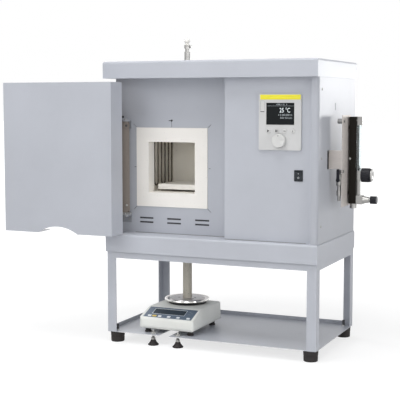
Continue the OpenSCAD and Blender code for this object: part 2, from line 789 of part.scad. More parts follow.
// Insulation plug of the door in two layers: soft backing and hard front face
module door_insulation() {
    color("#ebe7e1") {
        slab([plug_cx - collar_w / 2, door_yf + 14, cz - collar_h / 2],
             [plug_cx + collar_w / 2, door_yb - 22, cz + collar_h / 2]);
        slab([plug_cx - collar_w / 2, door_yb - 22, cz - collar_h / 2],
             [plug_cx + collar_w / 2, door_yb - collar_proud - 1, cz + collar_h / 2]);
    }
}

// Inner sheet that backs the plug, on two stiffening rails across the door
module door_liner() {
    color("#a8adb5") {
        slab([door_x0 + door_t, door_yf + 12, door_z0 + door_t + 20],
             [door_x0 + door_w - door_t, door_yf + 14, door_z0 + door_h - door_t]);
        for (z = [door_z0 + 30, door_z0 + door_h - 30])
            slab([door_x0 + 20, door_yf + door_t, z - 10], [door_x0 + door_w - 20, door_yf + 12, z + 10]);
    }
}

// Brackets above and below the plug with the door's pivot pins, and its chain wheel
module door_pivots() {
    back = door_yf + 14;
    color("#b5b1ab") {
        for (z = [low_shelf_z, top_shelf_z]) {
            slab([dx - 14, back, z], [dx + 14, dy, z + shelf_t]);
            rod_z([dx, dy, z], 28, shelf_t);
            slab([dx - 22, back, z < cz ? z - 20 : z],
                 [dx + 22, back + 3, z < cz ? z + shelf_t : z + shelf_t + 20]);
        }
        rod_z([dx, dy, low_shelf_z - 4], shaft_d, low_bar_z + bar_t + 5.5 - low_shelf_z);
        rod_z([dx, dy, high_bar_z - 1.5], shaft_d, top_shelf_z + shelf_t + 4.5 - high_bar_z);
        translate([dx, dy, wheel_z]) chain_wheel();
    }
}

// Controller

module controller_body() {
    color("#dcdcdc") difference() {
        union() {
            front_plate(ctl_x, ctl_z, bezel_w, bezel_h, 4, bezel_y, panel_y);
            slab([ctl_x - box_w / 2, panel_y - eps, ctl_z - box_h / 2],
                 [ctl_x + box_w / 2, panel_y + box_d, ctl_z + box_h / 2]);
        }
        slab([lcd_x - lcd_w / 2 - touch, bezel_y - 1, lcd_z - lcd_h / 2 - touch],
             [lcd_x + lcd_w / 2 + touch, bezel_y + 2, lcd_z + lcd_h / 2 + touch]);
        for (i = [0:3])
            rod_y([key_x + (i - 1.5) * key_pitch, bezel_y - 1, key_z], key_d + 0.6, 5 + key_travel);
        rod_y([dial_x, bezel_y - 1, dial_z], 6 + 2 * run, 21);
        rod_y([dial_x, bezel_y - 1, dial_z], dial_d + 2, 2);
        slab([usb_x, bezel_y - 1, usb_z - usb_h / 2 - touch],
             [usb_x + usb_w + 2 * touch, bezel_y + usb_t + touch, usb_z + usb_h / 2 + touch]);
        slab([usb_x + 3, bezel_y, usb_z - 7], [usb_x + 8, bezel_y + 12, usb_z + 7]);
    }
}

module controller_display() {
    color("#1c1e1e") slab([lcd_x - lcd_w / 2, bezel_y + 0.5, lcd_z - lcd_h / 2],
                          [lcd_x + lcd_w / 2, bezel_y + 2, lcd_z + lcd_h / 2]);
}

// Round key with a small dome, number 0 to 3 from the left
module key(i) {
    color("#d8d8d6") translate([key_x + (i - 1.5) * key_pitch, bezel_y + 3.5, key_z]) rotate([90, 0, 0]) {
        cylinder(d = key_d, h = 4.5);
        translate([0, 0, 4.5]) intersection() {
            translate([0, 0, -20]) sphere(r = 20.8);
            cylinder(d = key_d, h = 2);
        }
    }
}

module jog_spindle() {
    color("#9a9c9e") {
        rod_y([dial_x, bezel_y - dial_h + 4, dial_z], 6, dial_h + 14);
    }
}

// Jog dial: a round cap with a soft edge and a dished face, on its spindle
module jog_dial() {
    r = dial_d / 2;
    color("#e2e2e0") translate([dial_x, bezel_y - 0.4, dial_z]) rotate([90, 0, 0]) difference() {
        rotate_extrude() {
            square([r - 1.5, dial_h]);
            square([r, dial_h - 3]);
            translate([r - 3, dial_h - 3]) intersection() {
                circle(3);
                square([3, 3]);
            }
        }
        translate([0, 0, -1]) cylinder(d = 6 + 2 * run, h = dial_h - 2.6);
        translate([r * 0.52, 0, dial_h + 18]) sphere(r = 19.2);
    }
}

// Frame of the mains switch, with its well
module switch_frame() {
    color("#1d2228") difference() {
        union() {
            front_plate(sw_x, sw_z, switch_w, switch_h, 1.5, panel_y - 1.8, panel_y);
            slab([sw_x - switch_w / 2 + 2, panel_y - eps, sw_z - switch_h / 2 + 2],
                 [sw_x + switch_w / 2 - 2, panel_y + 22, sw_z + switch_h / 2 - 2]);
        }
        slab([sw_x - switch_w / 2 + 3.5, panel_y - 5, sw_z - switch_h / 2 + 3],
             [sw_x + switch_w / 2 - 3.5, panel_y + 12, sw_z + switch_h / 2 - 3]);
        rod_x([sw_x - switch_w / 2 + 2.4, panel_y + 4, sw_z], 3 + 2 * run, switch_w - 4.8);
    }
}

// Rocker with a face of two slopes and two pins, tilted to its off side
module rocker() {
    r = switch_h / 2 - 3.4;
    color("#14171a") translate([sw_x, panel_y + 4, sw_z]) rotate([7, 0, 0]) {
        intersection() {
            translate([-switch_w / 2 + 4, 0, 0]) rotate([90, 0, 90]) linear_extrude(switch_w - 8)
                polygon([[3, -r - 1], [3, r + 1], [-7.4, r + 1], [-5.6, 0], [-7.4, -r - 1]]);
            rotate([0, 90, 0]) cylinder(r = r, h = 40, center = true);
        }
        rod_x([-switch_w / 2 + 2.7, 0, 0], 3, switch_w - 5.4);
    }
}

// Flap over the service socket, with a round hinge edge on the left
module usb_cover() {
    color("#d2d2d0") {
        rod_z([usb_x + touch + usb_t / 2, bezel_y + usb_t / 2, usb_z - usb_h / 2], usb_t, usb_h);
        slab([usb_x + touch + usb_t / 2, bezel_y, usb_z - usb_h / 2],
             [usb_x + touch + usb_w, bezel_y + usb_t, usb_z + usb_h / 2]);
    }
}

// Power side behind the control panel: transformer, power controller, terminal rail
module switchgear() {
    x0 = recess_x + 16;
    color("#5b6066") {
        slab([x0 + 40, -60, deck_z], [x0 + 200, 70, deck_z + 16]);
        slab([x0 + 50, -50, deck_z + 16], [x0 + 190, 60, deck_z + 34]);
        for (i = [0:2]) slab([x0 + 50 + i * 52, -50, deck_z + 34], [x0 + 86 + i * 52, 60, deck_z + 120]);
        slab([x0 + 50, -50, deck_z + 120], [x0 + 190, 60, deck_z + 140]);
        slab([x0 + 60, rear_y - sheet_t - 12, deck_z + 190], [x0 + 200, rear_y - sheet_t, deck_z + 205]);
        for (i = [0:3]) slab([x0 + 64 + i * 34, rear_y - sheet_t - 60, deck_z + 165],
                             [x0 + 92 + i * 34, rear_y - sheet_t - 12, deck_z + 235]);
    }
}

// Gas unit

// Bracket of one sheet: foot inside the side panel, tab through its slot, and the tall plate
module gas_bracket() {
    color("#b5b1ab") difference() {
        union() {
            slab([inner_x - plate_t, plate_y0 - plate_t, tab_z0], [inner_x, plate_y0 + 25, tab_z1]);
            slab([inner_x - plate_t, plate_y0 - plate_t, tab_z0], [gas_x + plate_t, plate_y0, tab_z1]);
            slab([gas_x, plate_y0 - plate_t, plate_z0],
                 [gas_x + plate_t, plate_y0 + plate_w, plate_z0 + plate_h]);
        }
        for (z = meter_screws) rod_x([gas_x - 5, glass_y, z], 5.2, 10);
        rod_x([gas_x - 5, valve_y, valve_z + 24], 8.4, 10);
        rod_x([gas_x - 5, -62, head_z + 12], 8.4, 10);
        for (z = [tab_z0 + 13, tab_z1 - 13]) rod_x([inner_x - 5, plate_y0 + 12, z], 4.2, 6);
    }
}

// Block of the flow meter on two spacers, grooved for the measuring tube
module flowmeter_body() {
    seat_x = gas_x + plate_t + touch;
    color("#1b1a18") difference() {
        union() {
            slab([meter_x, meter_y0, meter_z0],
                 [meter_x + meter_d, meter_y0 + meter_w, meter_z0 + meter_h]);
            for (z = meter_screws) rod_x([seat_x, glass_y, z], 12, meter_x - seat_x + 1);
        }
        rod_z([glass_x, glass_y, glass_z0 - 2], glass_d + 4, head_z - glass_z0 + 4);
        for (z = meter_screws) rod_x([gas_x, glass_y, z], 4.2, meter_x - gas_x + 11);
    }
}

// Glass tube with a bore for the float
module flow_tube() {
    color([0.8, 0.85, 0.88, 0.5]) translate([glass_x, glass_y, glass_z0]) difference() {
        cylinder(d = glass_d, h = head_z - glass_z0);
        translate([0, 0, -1]) cylinder(d = glass_d - 3.4, h = head_z - glass_z0 + 2);
    }
}

module flow_float() {
    color("#30343a") translate([glass_x, glass_y, glass_z0 + 0.5]) {
        cylinder(d1 = 2, d2 = 6.4, h = 5);
        translate([0, 0, 5]) cylinder(d = 6.4, h = 3);
        translate([0, 0, 8]) cylinder(d = 2.4, h = 6);
    }
}

// Metal fittings: head and foot of the meter, valve bodies, couplings and pipe
module gas_fittings() {
    front = meter_x + meter_d;
    color("#c9c9c6") {
        slab([front, glass_y - 9, head_z], [front + 15.5, glass_y + 9, head_z + 24]);
        difference() {
            slab([front, glass_y - 7, knob_z - 12], [knob_x - 1, glass_y + 7, knob_z + 12]);
            rod_x([knob_x - 10, glass_y, knob_z], 6 + 2 * run, 20);
        }
        slab([front, glass_y - 5, needle_z + 11], [front + 9, glass_y + 5, knob_z - 12]);
        translate([front, glass_y, needle_z]) rotate([0, 90, 0]) difference() {
            union() {
                translate([-12.5, -12.5, 0]) cube([25, 25, 18]);
                translate([0, 0, 18]) cylinder(d1 = 22, d2 = 16, h = needle_x - front - 22);
                translate([0, 0, needle_x - front - 5]) cylinder(d = 13, h = 4.5);
            }
            translate([0, 0, needle_x - front - 17.5]) cylinder(d = 6 + 2 * run, h = 30);
        }
        rod_z([meter_x + meter_d / 2, glass_y, meter_z0 - 14], 19, 14);
        rod_x([stand_x + 19, -62, head_z + 12], 14, plate_out - 19);
        rod_x([gas_x - 1, -62, head_z + 12], 8, 5);
        difference() {
            union() {
                rod_z([valve_x, valve_y, valve_z - 59], 9, 16);
                rod_z([valve_x, valve_y, valve_z - 44], 15, 13);
                rod_z([valve_x, valve_y, valve_z - 32], 11, 16);
                rod_z([valve_x, valve_y, valve_z - 12], 16, 24);
                for (z = [-12, 12]) translate([valve_x, valve_y, valve_z + z]) sphere(d = 16);
                rod_z([valve_x, valve_y, valve_z + 10], 9, 18);
                rod_x([valve_x, valve_y, valve_z + 24], 8, gas_x + 4 - valve_x);
                rod_y([valve_x, valve_y - valve_out, valve_z], 9, valve_out);
            }
            rod_y([valve_x, valve_y - valve_out - 1, valve_z], 4 + 2 * run, 8);
        }
    }
}

// Big regulating knob: fluted skirt and a bright cap
module flow_knob() {
    color("#1a1a22") translate([knob_x, glass_y, knob_z]) rotate([0, 90, 0]) {
        difference() {
            union() {
                cylinder(d = flow_knob_d, h = flow_knob_l - 6);
                translate([0, 0, flow_knob_l - 6]) cylinder(d = flow_knob_d - 2, h = 3);
                translate([0, 0, flow_knob_l - 3]) cylinder(d = flow_knob_d - 6, h = 3);
            }
            for (i = [0:23]) rotate(i * 15) translate([flow_knob_d / 2 + 0.5, 0, 4])
                cylinder(d = 2.4, h = flow_knob_l - 14, $fn = 16);
        }
        translate([0, 0, -7.6]) cylinder(d = 6, h = 8);
    }
}

// Knurled knob of the needle valve
module needle_knob() {
    color("#222226") translate([needle_x, glass_y, needle_z]) rotate([0, 90, 0]) {
        difference() {
            cylinder(d = 22, h = hi_x - needle_x);
            for (i = [0:17]) rotate(i * 20) translate([11.4, 0, 2]) cylinder(d = 2, h = 14, $fn = 14);
        }
        translate([0, 0, -16]) cylinder(d = 6, h = 17);
    }
}

// Quarter-turn lever of the shut-off valve, upright when open
module valve_lever() {
    color("#17171a") translate([valve_x, valve_y - valve_out - 0.4, valve_z]) rotate([90, 0, 0]) {
        cylinder(d = 11, h = 5);
        translate([0, 0, -6]) cylinder(d = 4, h = 7);
        translate([-4, 0, 0]) cube([8, 27, 5]);
        translate([0, 27, 0]) cylinder(d = 8, h = 5);
    }
}

// Balance

// Side outline of the balance housing: upright front, sloped keypad, flat top
module balance_profile() {
    y1 = bal_y0 + bal_d;
    polygon([
        [bal_y0 + 8, bal_z0], [y1 - 9, bal_z0], [y1 - 3, bal_z0 + 3], [y1, bal_z0 + 9],
        [y1 - 2, bal_z1 - 5], [y1 - 7, bal_z1], [bal_y0 + 2 + key_run, bal_z1],
        [bal_y0 + 2, bal_z1 - key_drop], [bal_y0, bal_z1 - key_drop - 4],
        [bal_y0, bal_z0 + 9], [bal_y0 + 3, bal_z0 + 3]
    ]);
}

// Housing: side outline, plan with round corners and walls with draft, all in one
module balance_housing() {
    mid_y = bal_y0 + bal_d / 2;
    color("#dfe0da") difference() {
        intersection() {
            translate([cx - bal_w / 2, 0, 0]) rotate([90, 0, 90]) linear_extrude(bal_w) balance_profile();
            translate([cx, mid_y, bal_z0 - 1]) linear_extrude(bal_h) round_rect(bal_w, bal_d, 12);
            translate([cx, bal_y0 + bal_d + 1, 0]) rotate([90, 0, 0]) linear_extrude(bal_d + 2)
                polygon([[-bal_w / 2 + 9, bal_z0], [bal_w / 2 - 9, bal_z0], [bal_w / 2 - 3, bal_z0 + 3],
                         [bal_w / 2, bal_z0 + 9], [bal_w / 2 - 4, bal_z1 - 3], [bal_w / 2 - 8, bal_z1],
                         [-bal_w / 2 + 8, bal_z1], [-bal_w / 2 + 4, bal_z1 - 3], [-bal_w / 2, bal_z0 + 9],
                         [-bal_w / 2 + 3, bal_z0 + 3]]);
        }
        rod_z([cx, cy, bal_z1 - 30], stem_d + 0.6, 40);
        keypad_place() difference() {
            translate([0, 0, 5 - 1.2]) cube([foil_w + 0.6, foil_d + 0.6, 10], center = true);
            translate([window_at[0], window_at[1], -0.9]) difference() {
                cube([window_w + 2, window_d + 2, 1.8], center = true);
                cube([window_w, window_d, 4], center = true);
            }
        }
    }
}

// Frame on the middle of the sloped front, with Z out of the slope
module keypad_place() {
    translate([cx, bal_y0 + 2 + key_run / 2, bal_z1 - key_drop / 2])
        rotate([atan2(key_drop, key_run), 0, 0]) children();
}

// Keypad foil in its shallow pocket
module balance_keypad() {
    color("#5d6a7a") keypad_place() difference() {
        translate([0, 0, -0.7]) cube([foil_w, foil_d, 1], center = true);
        translate([window_at[0], window_at[1], 0]) cube([window_w + 2.6, window_d + 2.6, 4], center = true);
    }
}

module balance_display() {
    color("#20262c") keypad_place() translate([window_at[0], window_at[1], -0.8])
        cube([window_w - 0.6, window_d - 0.6, 0.8], center = true);
}

// Round pan with a sloped bright rim, a raised middle and a stem into the balance
module weighing_pan() {
    r = pan_d / 2;
    color("#cfd0d0") {
        translate([cx, cy, pan_z]) rotate_extrude($fn = 96) polygon([
            [0, 0], [r - 14, 0], [r - 4, pan_t * 0.35], [r, pan_t * 0.7], [r - 1, pan_t],
            [r - 9, pan_t * 0.8], [r - 16, pan_t * 0.8], [r - 17, pan_t], [0, pan_t]
        ]);
        rod_z([cx, cy, bal_z1 - 28], stem_d, pan_z - bal_z1 + 28);
    }
}

// Ceramic tube from the pan up through the furnace floor to the sample plate
module support_tube() {
    color("#a39e90") translate([cx, cy, pan_z + pan_t]) difference() {
        cylinder(d = tube_d, h = plate_z - pan_z - pan_t);
        translate([0, 0, -1]) cylinder(d = tube_d - 2 * tube_wall, h = plate_z);
    }
}

module sample_plate() {
    color("#efeae2") slab([cx - sample_w / 2, cy - sample_w / 2, plate_z],
                          [cx + sample_w / 2, cy + sample_w / 2, plate_z + sample_t]);
}

// Levelling foot: threaded spindle and cone foot, through a nut on the tray
module levelling_foot(s) {
    translate([cx + s * level_pitch / 2, lev_y, 0]) {
        color("#2a2425") cylinder(d1 = 32, d2 = 14, h = 17);
        color("#c9c9c6") translate([0, 0, 17]) cylinder(d = 8, h = tray_z + 12 - 17);
    }
}

// Roof fitting

// Gland on the hood: flanged socket, clamping nut with its thumb screw
module thermocouple_gland() {
    color("#cfd0d2") difference() {
        union() {
            rod_z([cx, cy, top_z - sheet_t - 6], gland_d, gland_top - 20 - top_z + sheet_t + 6);
            rod_z([cx, cy, top_z], gland_d + 9, 2);
            rod_z([cx, cy, gland_top - 20], gland_d - 4.5, 10);
            translate([cx, cy, gland_top - 10]) cylinder(d = gland_d + 1, h = 10, $fn = 24);
            rod_x([cx + gland_d / 2 - 1, cy, gland_top - 5], 4, 5.5);
            rod_x([cx + gland_d / 2 + 4, cy, gland_top - 5], 8, 2);
        }
        rod_z([cx, cy, top_z - 20], 6 + 2 * run, 80);
    }
}

// Thermocouple: ceramic sheath from above the sample to the round head
module thermocouple() {
    color("#e6e2d8") {
        rod_z([cx, cy, roof_z - 4], 6, gland_top + 2 - roof_z + 4);
        translate([cx, cy, gland_top + 12]) sphere(d = gland_d);
        rod_z([cx, cy, gland_top + touch], 12, 4.7);
    }
}

// Screws and nuts of the stand, the panels and the brackets
module case_fasteners() {
    color("#8f9296") {
        for (z = [48, wall_h / 2 + 6.25, wall_h - 33.5]) {
            rod_x([stand_x - 6, -154, deck_z + z], 4, 6);
            rod_x([stand_x, -154, deck_z + z], 8, 1.6);
            rod_x([-stand_x, -95, deck_z + z], 4, 6);
            rod_x([-stand_x - 1.6, -95, deck_z + z], 8, 1.6);
        }
        for (sx = [-1, 1], sy = [-1, 1])
            rod_z([sx * (stand_x - foot_d / 2), sy * (stand_y - foot_d / 2), tray_z], 11, 3);
        for (z = [tab_z0 + 13, tab_z1 - 13]) {
            rod_x([inner_x - plate_t - 4, plate_y0 + 12, z], 4, sheet_t + plate_t + 4);
            rod_x([stand_x, plate_y0 + 12, z], 7.5, 1.8);
        }
        for (s = [-1, 1]) difference() {
            translate([cx + s * level_pitch / 2, lev_y, tray_z]) cylinder(d = 15, h = 6, $fn = 6);
            rod_z([cx + s * level_pitch / 2, lev_y, tray_z - 1], 8 + 2 * run, 9);
        }
        for (z = meter_screws) {
            rod_x([gas_x - 2.4, glass_y, z], 9, 2.4);
            rod_x([gas_x - eps, glass_y, z], 4, meter_x - gas_x + 8);
        }
    }
}

place() rubber_feet();
place() stand_legs();
place() stand_rails();
place() tray_shelf();
place() case_fasteners();
place() plinth();
place() hood();
place() side_panel_right();
place() side_panel_left();
place() rear_panel();
place() rear_fittings();
place() control_panel();
place() face_plate();
place() collar();
place() chamber_wall_boards();
place() chamber_roof_board();
place() chamber_floor_board();
place() backup_insulation();
place() inner_casing();
place() heating_elements();
place() element_holders();
place() element_clamps();
place() hinge_brackets();
place() swing_shaft();
place() controller_body();
place() controller_display();
place() switch_frame();
place() switchgear();
place() gas_bracket();
place() flowmeter_body();
place() flow_tube();
place() gas_fittings();
place() balance_housing();
place() balance_keypad();
place() balance_display();
place() thermocouple_gland();
place() swing_arm();
place() door_chain();
place() door_shell();
place() door_insulation();
place() door_liner();
place() door_pivots();
place() key(0);  // key_start
place() key(1);  // key_menu
place() key(2);  // key_back
place() key(3);  // key_info
place() jog_spindle();
place() jog_dial();
place() rocker();
place() usb_cover();
place() flow_knob();
place() needle_knob();
place() valve_lever();
place() flow_float();
place() weighing_pan();
place() support_tube();
place() sample_plate();
place() levelling_foot(-1);  // levelling_foot_left
place() levelling_foot(1);  // levelling_foot_right
place() thermocouple();
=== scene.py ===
import json
import math

import bmesh
import bpy
from mathutils import Matrix, Vector


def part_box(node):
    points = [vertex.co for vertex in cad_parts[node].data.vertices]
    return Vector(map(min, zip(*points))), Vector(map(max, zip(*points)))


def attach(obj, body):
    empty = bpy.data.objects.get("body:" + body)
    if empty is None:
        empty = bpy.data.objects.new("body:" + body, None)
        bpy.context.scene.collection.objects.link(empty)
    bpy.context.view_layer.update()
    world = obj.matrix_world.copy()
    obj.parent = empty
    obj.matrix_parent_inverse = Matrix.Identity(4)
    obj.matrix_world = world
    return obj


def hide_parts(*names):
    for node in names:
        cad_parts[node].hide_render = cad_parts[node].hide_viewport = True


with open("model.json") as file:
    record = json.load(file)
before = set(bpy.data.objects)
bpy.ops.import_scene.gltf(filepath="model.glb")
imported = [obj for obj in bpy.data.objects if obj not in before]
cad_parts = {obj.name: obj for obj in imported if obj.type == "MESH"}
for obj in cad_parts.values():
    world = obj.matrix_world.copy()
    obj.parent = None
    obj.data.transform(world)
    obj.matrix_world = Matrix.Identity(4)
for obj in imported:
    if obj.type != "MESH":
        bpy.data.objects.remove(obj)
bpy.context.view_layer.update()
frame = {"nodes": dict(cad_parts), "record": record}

NODES = frame["nodes"]
MM = 0.001

# The drawing's zero is the middle of the stand; the model's zero is the middle of its box
LEGS_LOW, LEGS_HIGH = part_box("stand_legs")
SHIFT = Vector(((LEGS_LOW.x + LEGS_HIGH.x) / 2, (LEGS_LOW.y + LEGS_HIGH.y) / 2, 0))

# Places that several pieces share, in the drawing's millimetres
AXIS_X, AXIS_Y = -141, -15                 # axis of chamber, tube and balance
DECK_Z, HOOD_Z, TOP_Z = 327, 784.5, 833.5  # top of the plinth, lower edge and top of the hood
FACE_Y, PANEL_Y, REAR_Y = -125, -169, 185  # face plate, front panel, rear wall
WALL_X = 325                               # outside of the side walls
FOOT_X, FOOT_Y = 303.5, 164.5              # rubber feet, each side of the middle
TRAY_TOP = 33
LEVEL_STEP, LEVEL_Y = 40, -171             # levelling feet, each side of the balance's axis
SLOT_HALF, SLOT_BACK = 17, -76             # slot in the tray's front edge
HINGE_X, HINGE_Y = -280, -150              # hinge column of the arm
SWING = 153.7                              # degrees from the closed door to the open one
BEZEL_X, BEZEL_Y, BEZEL_Z = 211, -174, 661
KEY_X = [BEZEL_X + 2.5 + (i - 1.5) * 23.7 for i in range(4)]
KEY_Z = 637
DIAL_X, DIAL_Z = 210.5, 610.3
WINDOW_X, WINDOW_Z = 212, 684
FLAP_LEFT, FLAP_RIGHT, FLAP_FOOT, FLAP_TOP = 154.6, 165.7, 690.4, 719.6
ROCKER_X, ROCKER_Z = 265, 514.6
PIVOT_X = -426.13                          # hinge of the open door on the arm
METER_X, METER_FRONT_X, METER_Y = 365, 386, -7
KEYPAD_Y, KEYPAD_Z = -136, 91
KEYPAD_TILT = math.atan2(24, 64)


def at(x, y, z):
    """A point of the drawing, in the model's metres."""
    return Vector((x, y, z)) * MM + SHIFT


# Camera, floor and light

def set_camera():
    lens = bpy.data.cameras.new("photo_camera")
    lens.sensor_width = 36
    lens.lens = 92.1
    lens.clip_end = 50
    camera = bpy.data.objects.new("photo_camera", lens)
    bpy.context.scene.collection.objects.link(camera)
    yaw, pitch = 0.4162, 0.0953
    look = Vector((-math.sin(yaw) * math.cos(pitch), math.cos(yaw) * math.cos(pitch), -math.sin(pitch)))
    camera.location = at(1150.05, -2840.5, 715.77)
    camera.rotation_euler = look.to_track_quat("-Z", "Y").to_euler()
    bpy.context.scene.camera = camera


def add_lamp(name, kind, place, target, energy, **settings):
    lamp = bpy.data.lights.new(name, kind)
    lamp.energy = energy
    for field, value in settings.items():
        setattr(lamp, field, value)
    holder = bpy.data.objects.new(name, lamp)
    bpy.context.scene.collection.objects.link(holder)
    holder.location = place
    holder.rotation_euler = (Vector(target) - Vector(place)).to_track_quat("-Z", "Y").to_euler()
    holder.visible_camera = False


# Shader arithmetic

class Wire:
    """A socket's value that Python can calculate with."""

    def __init__(self, nodes, socket):
        self.nodes = nodes
        self.socket = socket

    def calc(self, operation, *values):
        return self.nodes.add("ShaderNodeMath", {"operation": operation}, values)

    def __add__(self, other): return self.calc("ADD", self, other)
    def __radd__(self, other): return self.calc("ADD", other, self)
    def __sub__(self, other): return self.calc("SUBTRACT", self, other)
    def __rsub__(self, other): return self.calc("SUBTRACT", other, self)
    def __mul__(self, other): return self.calc("MULTIPLY", self, other)
    def __rmul__(self, other): return self.calc("MULTIPLY", other, self)
    def __gt__(self, other): return self.calc("GREATER_THAN", self, other)
    def __lt__(self, other): return self.calc("LESS_THAN", self, other)


class Nodes:
    """A node tree, and the one way in which it gets its nodes."""

    def __init__(self, tree):
        self.tree = tree

    def add(self, kind, settings=None, values=(), output=0):
        """A node with its settings, then the values or wires of its sockets."""
        made = self.tree.nodes.new(kind)
        for field, value in (settings or {}).items():
            setattr(made, field, value)
        for key, value in values.items() if isinstance(values, dict) else enumerate(values):
            if isinstance(value, Wire):
                self.tree.links.new(value.socket, made.inputs[key])
            else:
                made.inputs[key].default_value = value
        return Wire(self, made.outputs[output])

    def span(self, value, low, high, to_low=0.0, to_high=1.0):
        return self.add("ShaderNodeMapRange", {"clamp": True}, (value, low, high, to_low, to_high))

    def seen(self):
        """1 for rays from the camera, also by way of metal or glass, and 0 for light on the object."""
        camera, glossy, passed = (self.add("ShaderNodeLightPath", output=ray)
                                  for ray in ("Is Camera Ray", "Is Glossy Ray", "Is Transmission Ray"))
        return self.span(camera + glossy + passed, 0, 1)

    def show(self, shader, output):
        self.tree.links.new(shader.socket, self.tree.nodes[output].inputs["Surface"])


class Finish(Nodes):
    """A material: its surface, and the nodes that vary it."""

    def __init__(self, name, **constants):
        self.material = bpy.data.materials.new(name)
        self.material.use_nodes = True
        super().__init__(self.material.node_tree)
        self.surface = self.tree.nodes["Principled BSDF"]
        for socket, value in constants.items():
            self.surface.inputs[socket.replace("_", " ")].default_value = value

    def place(self, stretch=(1, 1, 1), turn=(0, 0, 0), centre=(0, 0, 0)):
        spot = self.add("ShaderNodeTexCoord", output=3)
        return self.add("ShaderNodeMapping", {}, {0: spot, 1: centre, 2: turn, 3: stretch})

    def noise(self, scale, detail=2, rough=0.5, **where):
        return self.add("ShaderNodeTexNoise", {}, {"Vector": self.place(**where), "Scale": scale,
                                                   "Detail": detail, "Roughness": rough})

    def mix(self, factor, first, second):
        def full(colour):
            return colour if isinstance(colour, Wire) else (*colour, 1)
        colours = {0: factor, 6: full(first), 7: full(second)}
        return self.add("ShaderNodeMix", {"data_type": "RGBA"}, colours, 2)

    def feed(self, socket, wire):
        self.tree.links.new(wire.socket, self.surface.inputs[socket])
        return self

    def relief(self, height, strength, depth=0.001):
        values = {"Strength": strength, "Distance": depth, "Height": height}
        return self.feed("Normal", self.add("ShaderNodeBump", {}, values))


def shade(colour, amount):
    return tuple(min(1.0, channel * amount) for channel in colour)


def powder_coat(name, colour, peel=0.12, rough=0.40):
    """Sprayed and baked paint: faint clouds, orange peel, a few rubbed spots."""
    made = Finish(name, IOR=1.48)
    clouds = made.noise(6, 4, 0.55)
    peel_noise = made.noise(850, 3, 0.6)
    rubs = made.span(made.noise(38, 5, 0.7), 0.60, 0.74)
    tint = made.mix(made.span(clouds, 0.3, 0.7), shade(colour, 0.965), shade(colour, 1.025))
    made.feed("Base Color", made.mix(rubs * 0.25, tint, shade(colour, 0.9)))
    made.feed("Roughness", rough + clouds * 0.10 + rubs * 0.12)
    return made.relief(peel_noise, peel, 0.0004).material


def sheet_steel(name, colour, grain=(6, 6, 500), rough=0.32, metal=1.0):
    """Rolled or ground steel: fine lines along the grain, cloudy polish, a few marks."""
    made = Finish(name)
    lines = made.noise(1.0, 4, 0.65, stretch=tuple(g * 4 for g in grain))
    clouds = made.noise(22, 3)
    marks = made.span(made.noise(95, 5, 0.75), 0.60, 0.72)
    tint = made.mix(made.span(lines, 0.25, 0.75), shade(colour, 0.86), shade(colour, 1.1))
    made.feed("Base Color", made.mix(marks * 0.35, tint, shade(colour, 0.62)))
    made.feed("Roughness", rough + lines * 0.14 + clouds * 0.08 + marks * 0.1)
    made.surface.inputs["Metallic"].default_value = metal
    return made.relief(lines, 0.12, 0.0003).material


def bright_plate(name, colour, rough=0.12):
    """Nickel or chrome plate with a light haze."""
    made = Finish(name, Metallic=1.0)
    haze = made.noise(60, 4, 0.6)
    specks = made.span(made.noise(420, 2), 0.66, 0.8)
    made.feed("Base Color", made.mix(specks * 0.5 + haze * 0.2, colour, shade(colour, 0.72)))
    made.feed("Roughness", rough + haze * 0.12 + specks * 0.2)
    return made.relief(haze, 0.03, 0.0003).material


def fibre_board(name, colour, stain, amount, pits=0.5):
    """Vacuum-formed ceramic fibre: felted grain, small pits, warm stains."""
    made = Finish(name, IOR=1.35)
    felt = made.noise(520, 6, 0.75)
    broad = made.noise(9, 5, 0.6)
    pit = made.span(made.noise(240, 2, 0.4), 0.66, 0.75)
    dirt = made.span(broad + felt * 0.25, 0.52, 0.86)
    tone = made.mix(dirt * amount, shade(colour, 1.02), stain)
    made.feed("Base Color", made.mix(pit * 0.35, tone, shade(colour, 0.6)))
    made.feed("Roughness", 0.86 + felt * 0.1)
    return made.relief(felt - pit * pits, 0.45, 0.0008).material


def plastic(name, colour, rough=0.45, grain=650, depth=0.18, wear=0.0, index=1.46):
    """Moulded plastic with a spark-eroded grain."""
    made = Finish(name, IOR=index)
    texture = made.noise(grain, 2)
    clouds = made.noise(14, 3)
    tint = made.mix(made.span(clouds, 0.3, 0.7), shade(colour, 0.95), shade(colour, 1.04))
    scuff = made.span(made.noise(70, 5, 0.7), 0.62, 0.75)
    made.feed("Base Color", made.mix(scuff * wear, tint, shade(colour, 1.5)))
    made.feed("Roughness", rough + texture * 0.12 + clouds * 0.06)
    return made.relief(texture, depth, 0.0003).material


def radius_wire(finish, x, y):
    """Distance from an upright axis, in metres."""
    flat = finish.add("ShaderNodeVectorMath", {"operation": "MULTIPLY"}, (finish.place(), (1, 1, 0)))
    return finish.add("ShaderNodeVectorMath", {"operation": "DISTANCE"}, (flat, at(x, y, 0)), 1)


# Outside the second radius the pan's lip is painted bright: a painted highlight on the same steel
PAN_MIDDLE, PAN_HIGHLIGHT_EDGE = 0.0535, 0.066      # radius of the ground middle, and of the rim's foot


def pan_metal():
    """Balance pan: ground middle with fine circles, polished sloping rim, and a bright outer lip that
    is a painted highlight.
    """
    made = Finish("pan_metal", Metallic=1.0)
    radius = radius_wire(made, AXIS_X, AXIS_Y)
    rings = made.add("ShaderNodeTexNoise", {"noise_dimensions": "1D"},
                     {"W": radius, "Scale": 1800, "Detail": 3})
    middle = radius < PAN_MIDDLE
    haze = made.noise(45, 4)
    tint = made.mix(rings, (0.38, 0.37, 0.38), (0.54, 0.53, 0.54))
    # Darker polished rim, then a painted highlight on the outer lip
    rim_and_painted_highlight = made.mix(radius > PAN_HIGHLIGHT_EDGE, (0.36, 0.35, 0.35), (0.80, 0.79, 0.77))
    made.feed("Base Color", made.mix(middle, rim_and_painted_highlight, tint))
    made.feed("Roughness", 0.10 + middle * 0.30 + haze * 0.08)
    return made.relief(rings * middle, 0.1, 0.0002).material


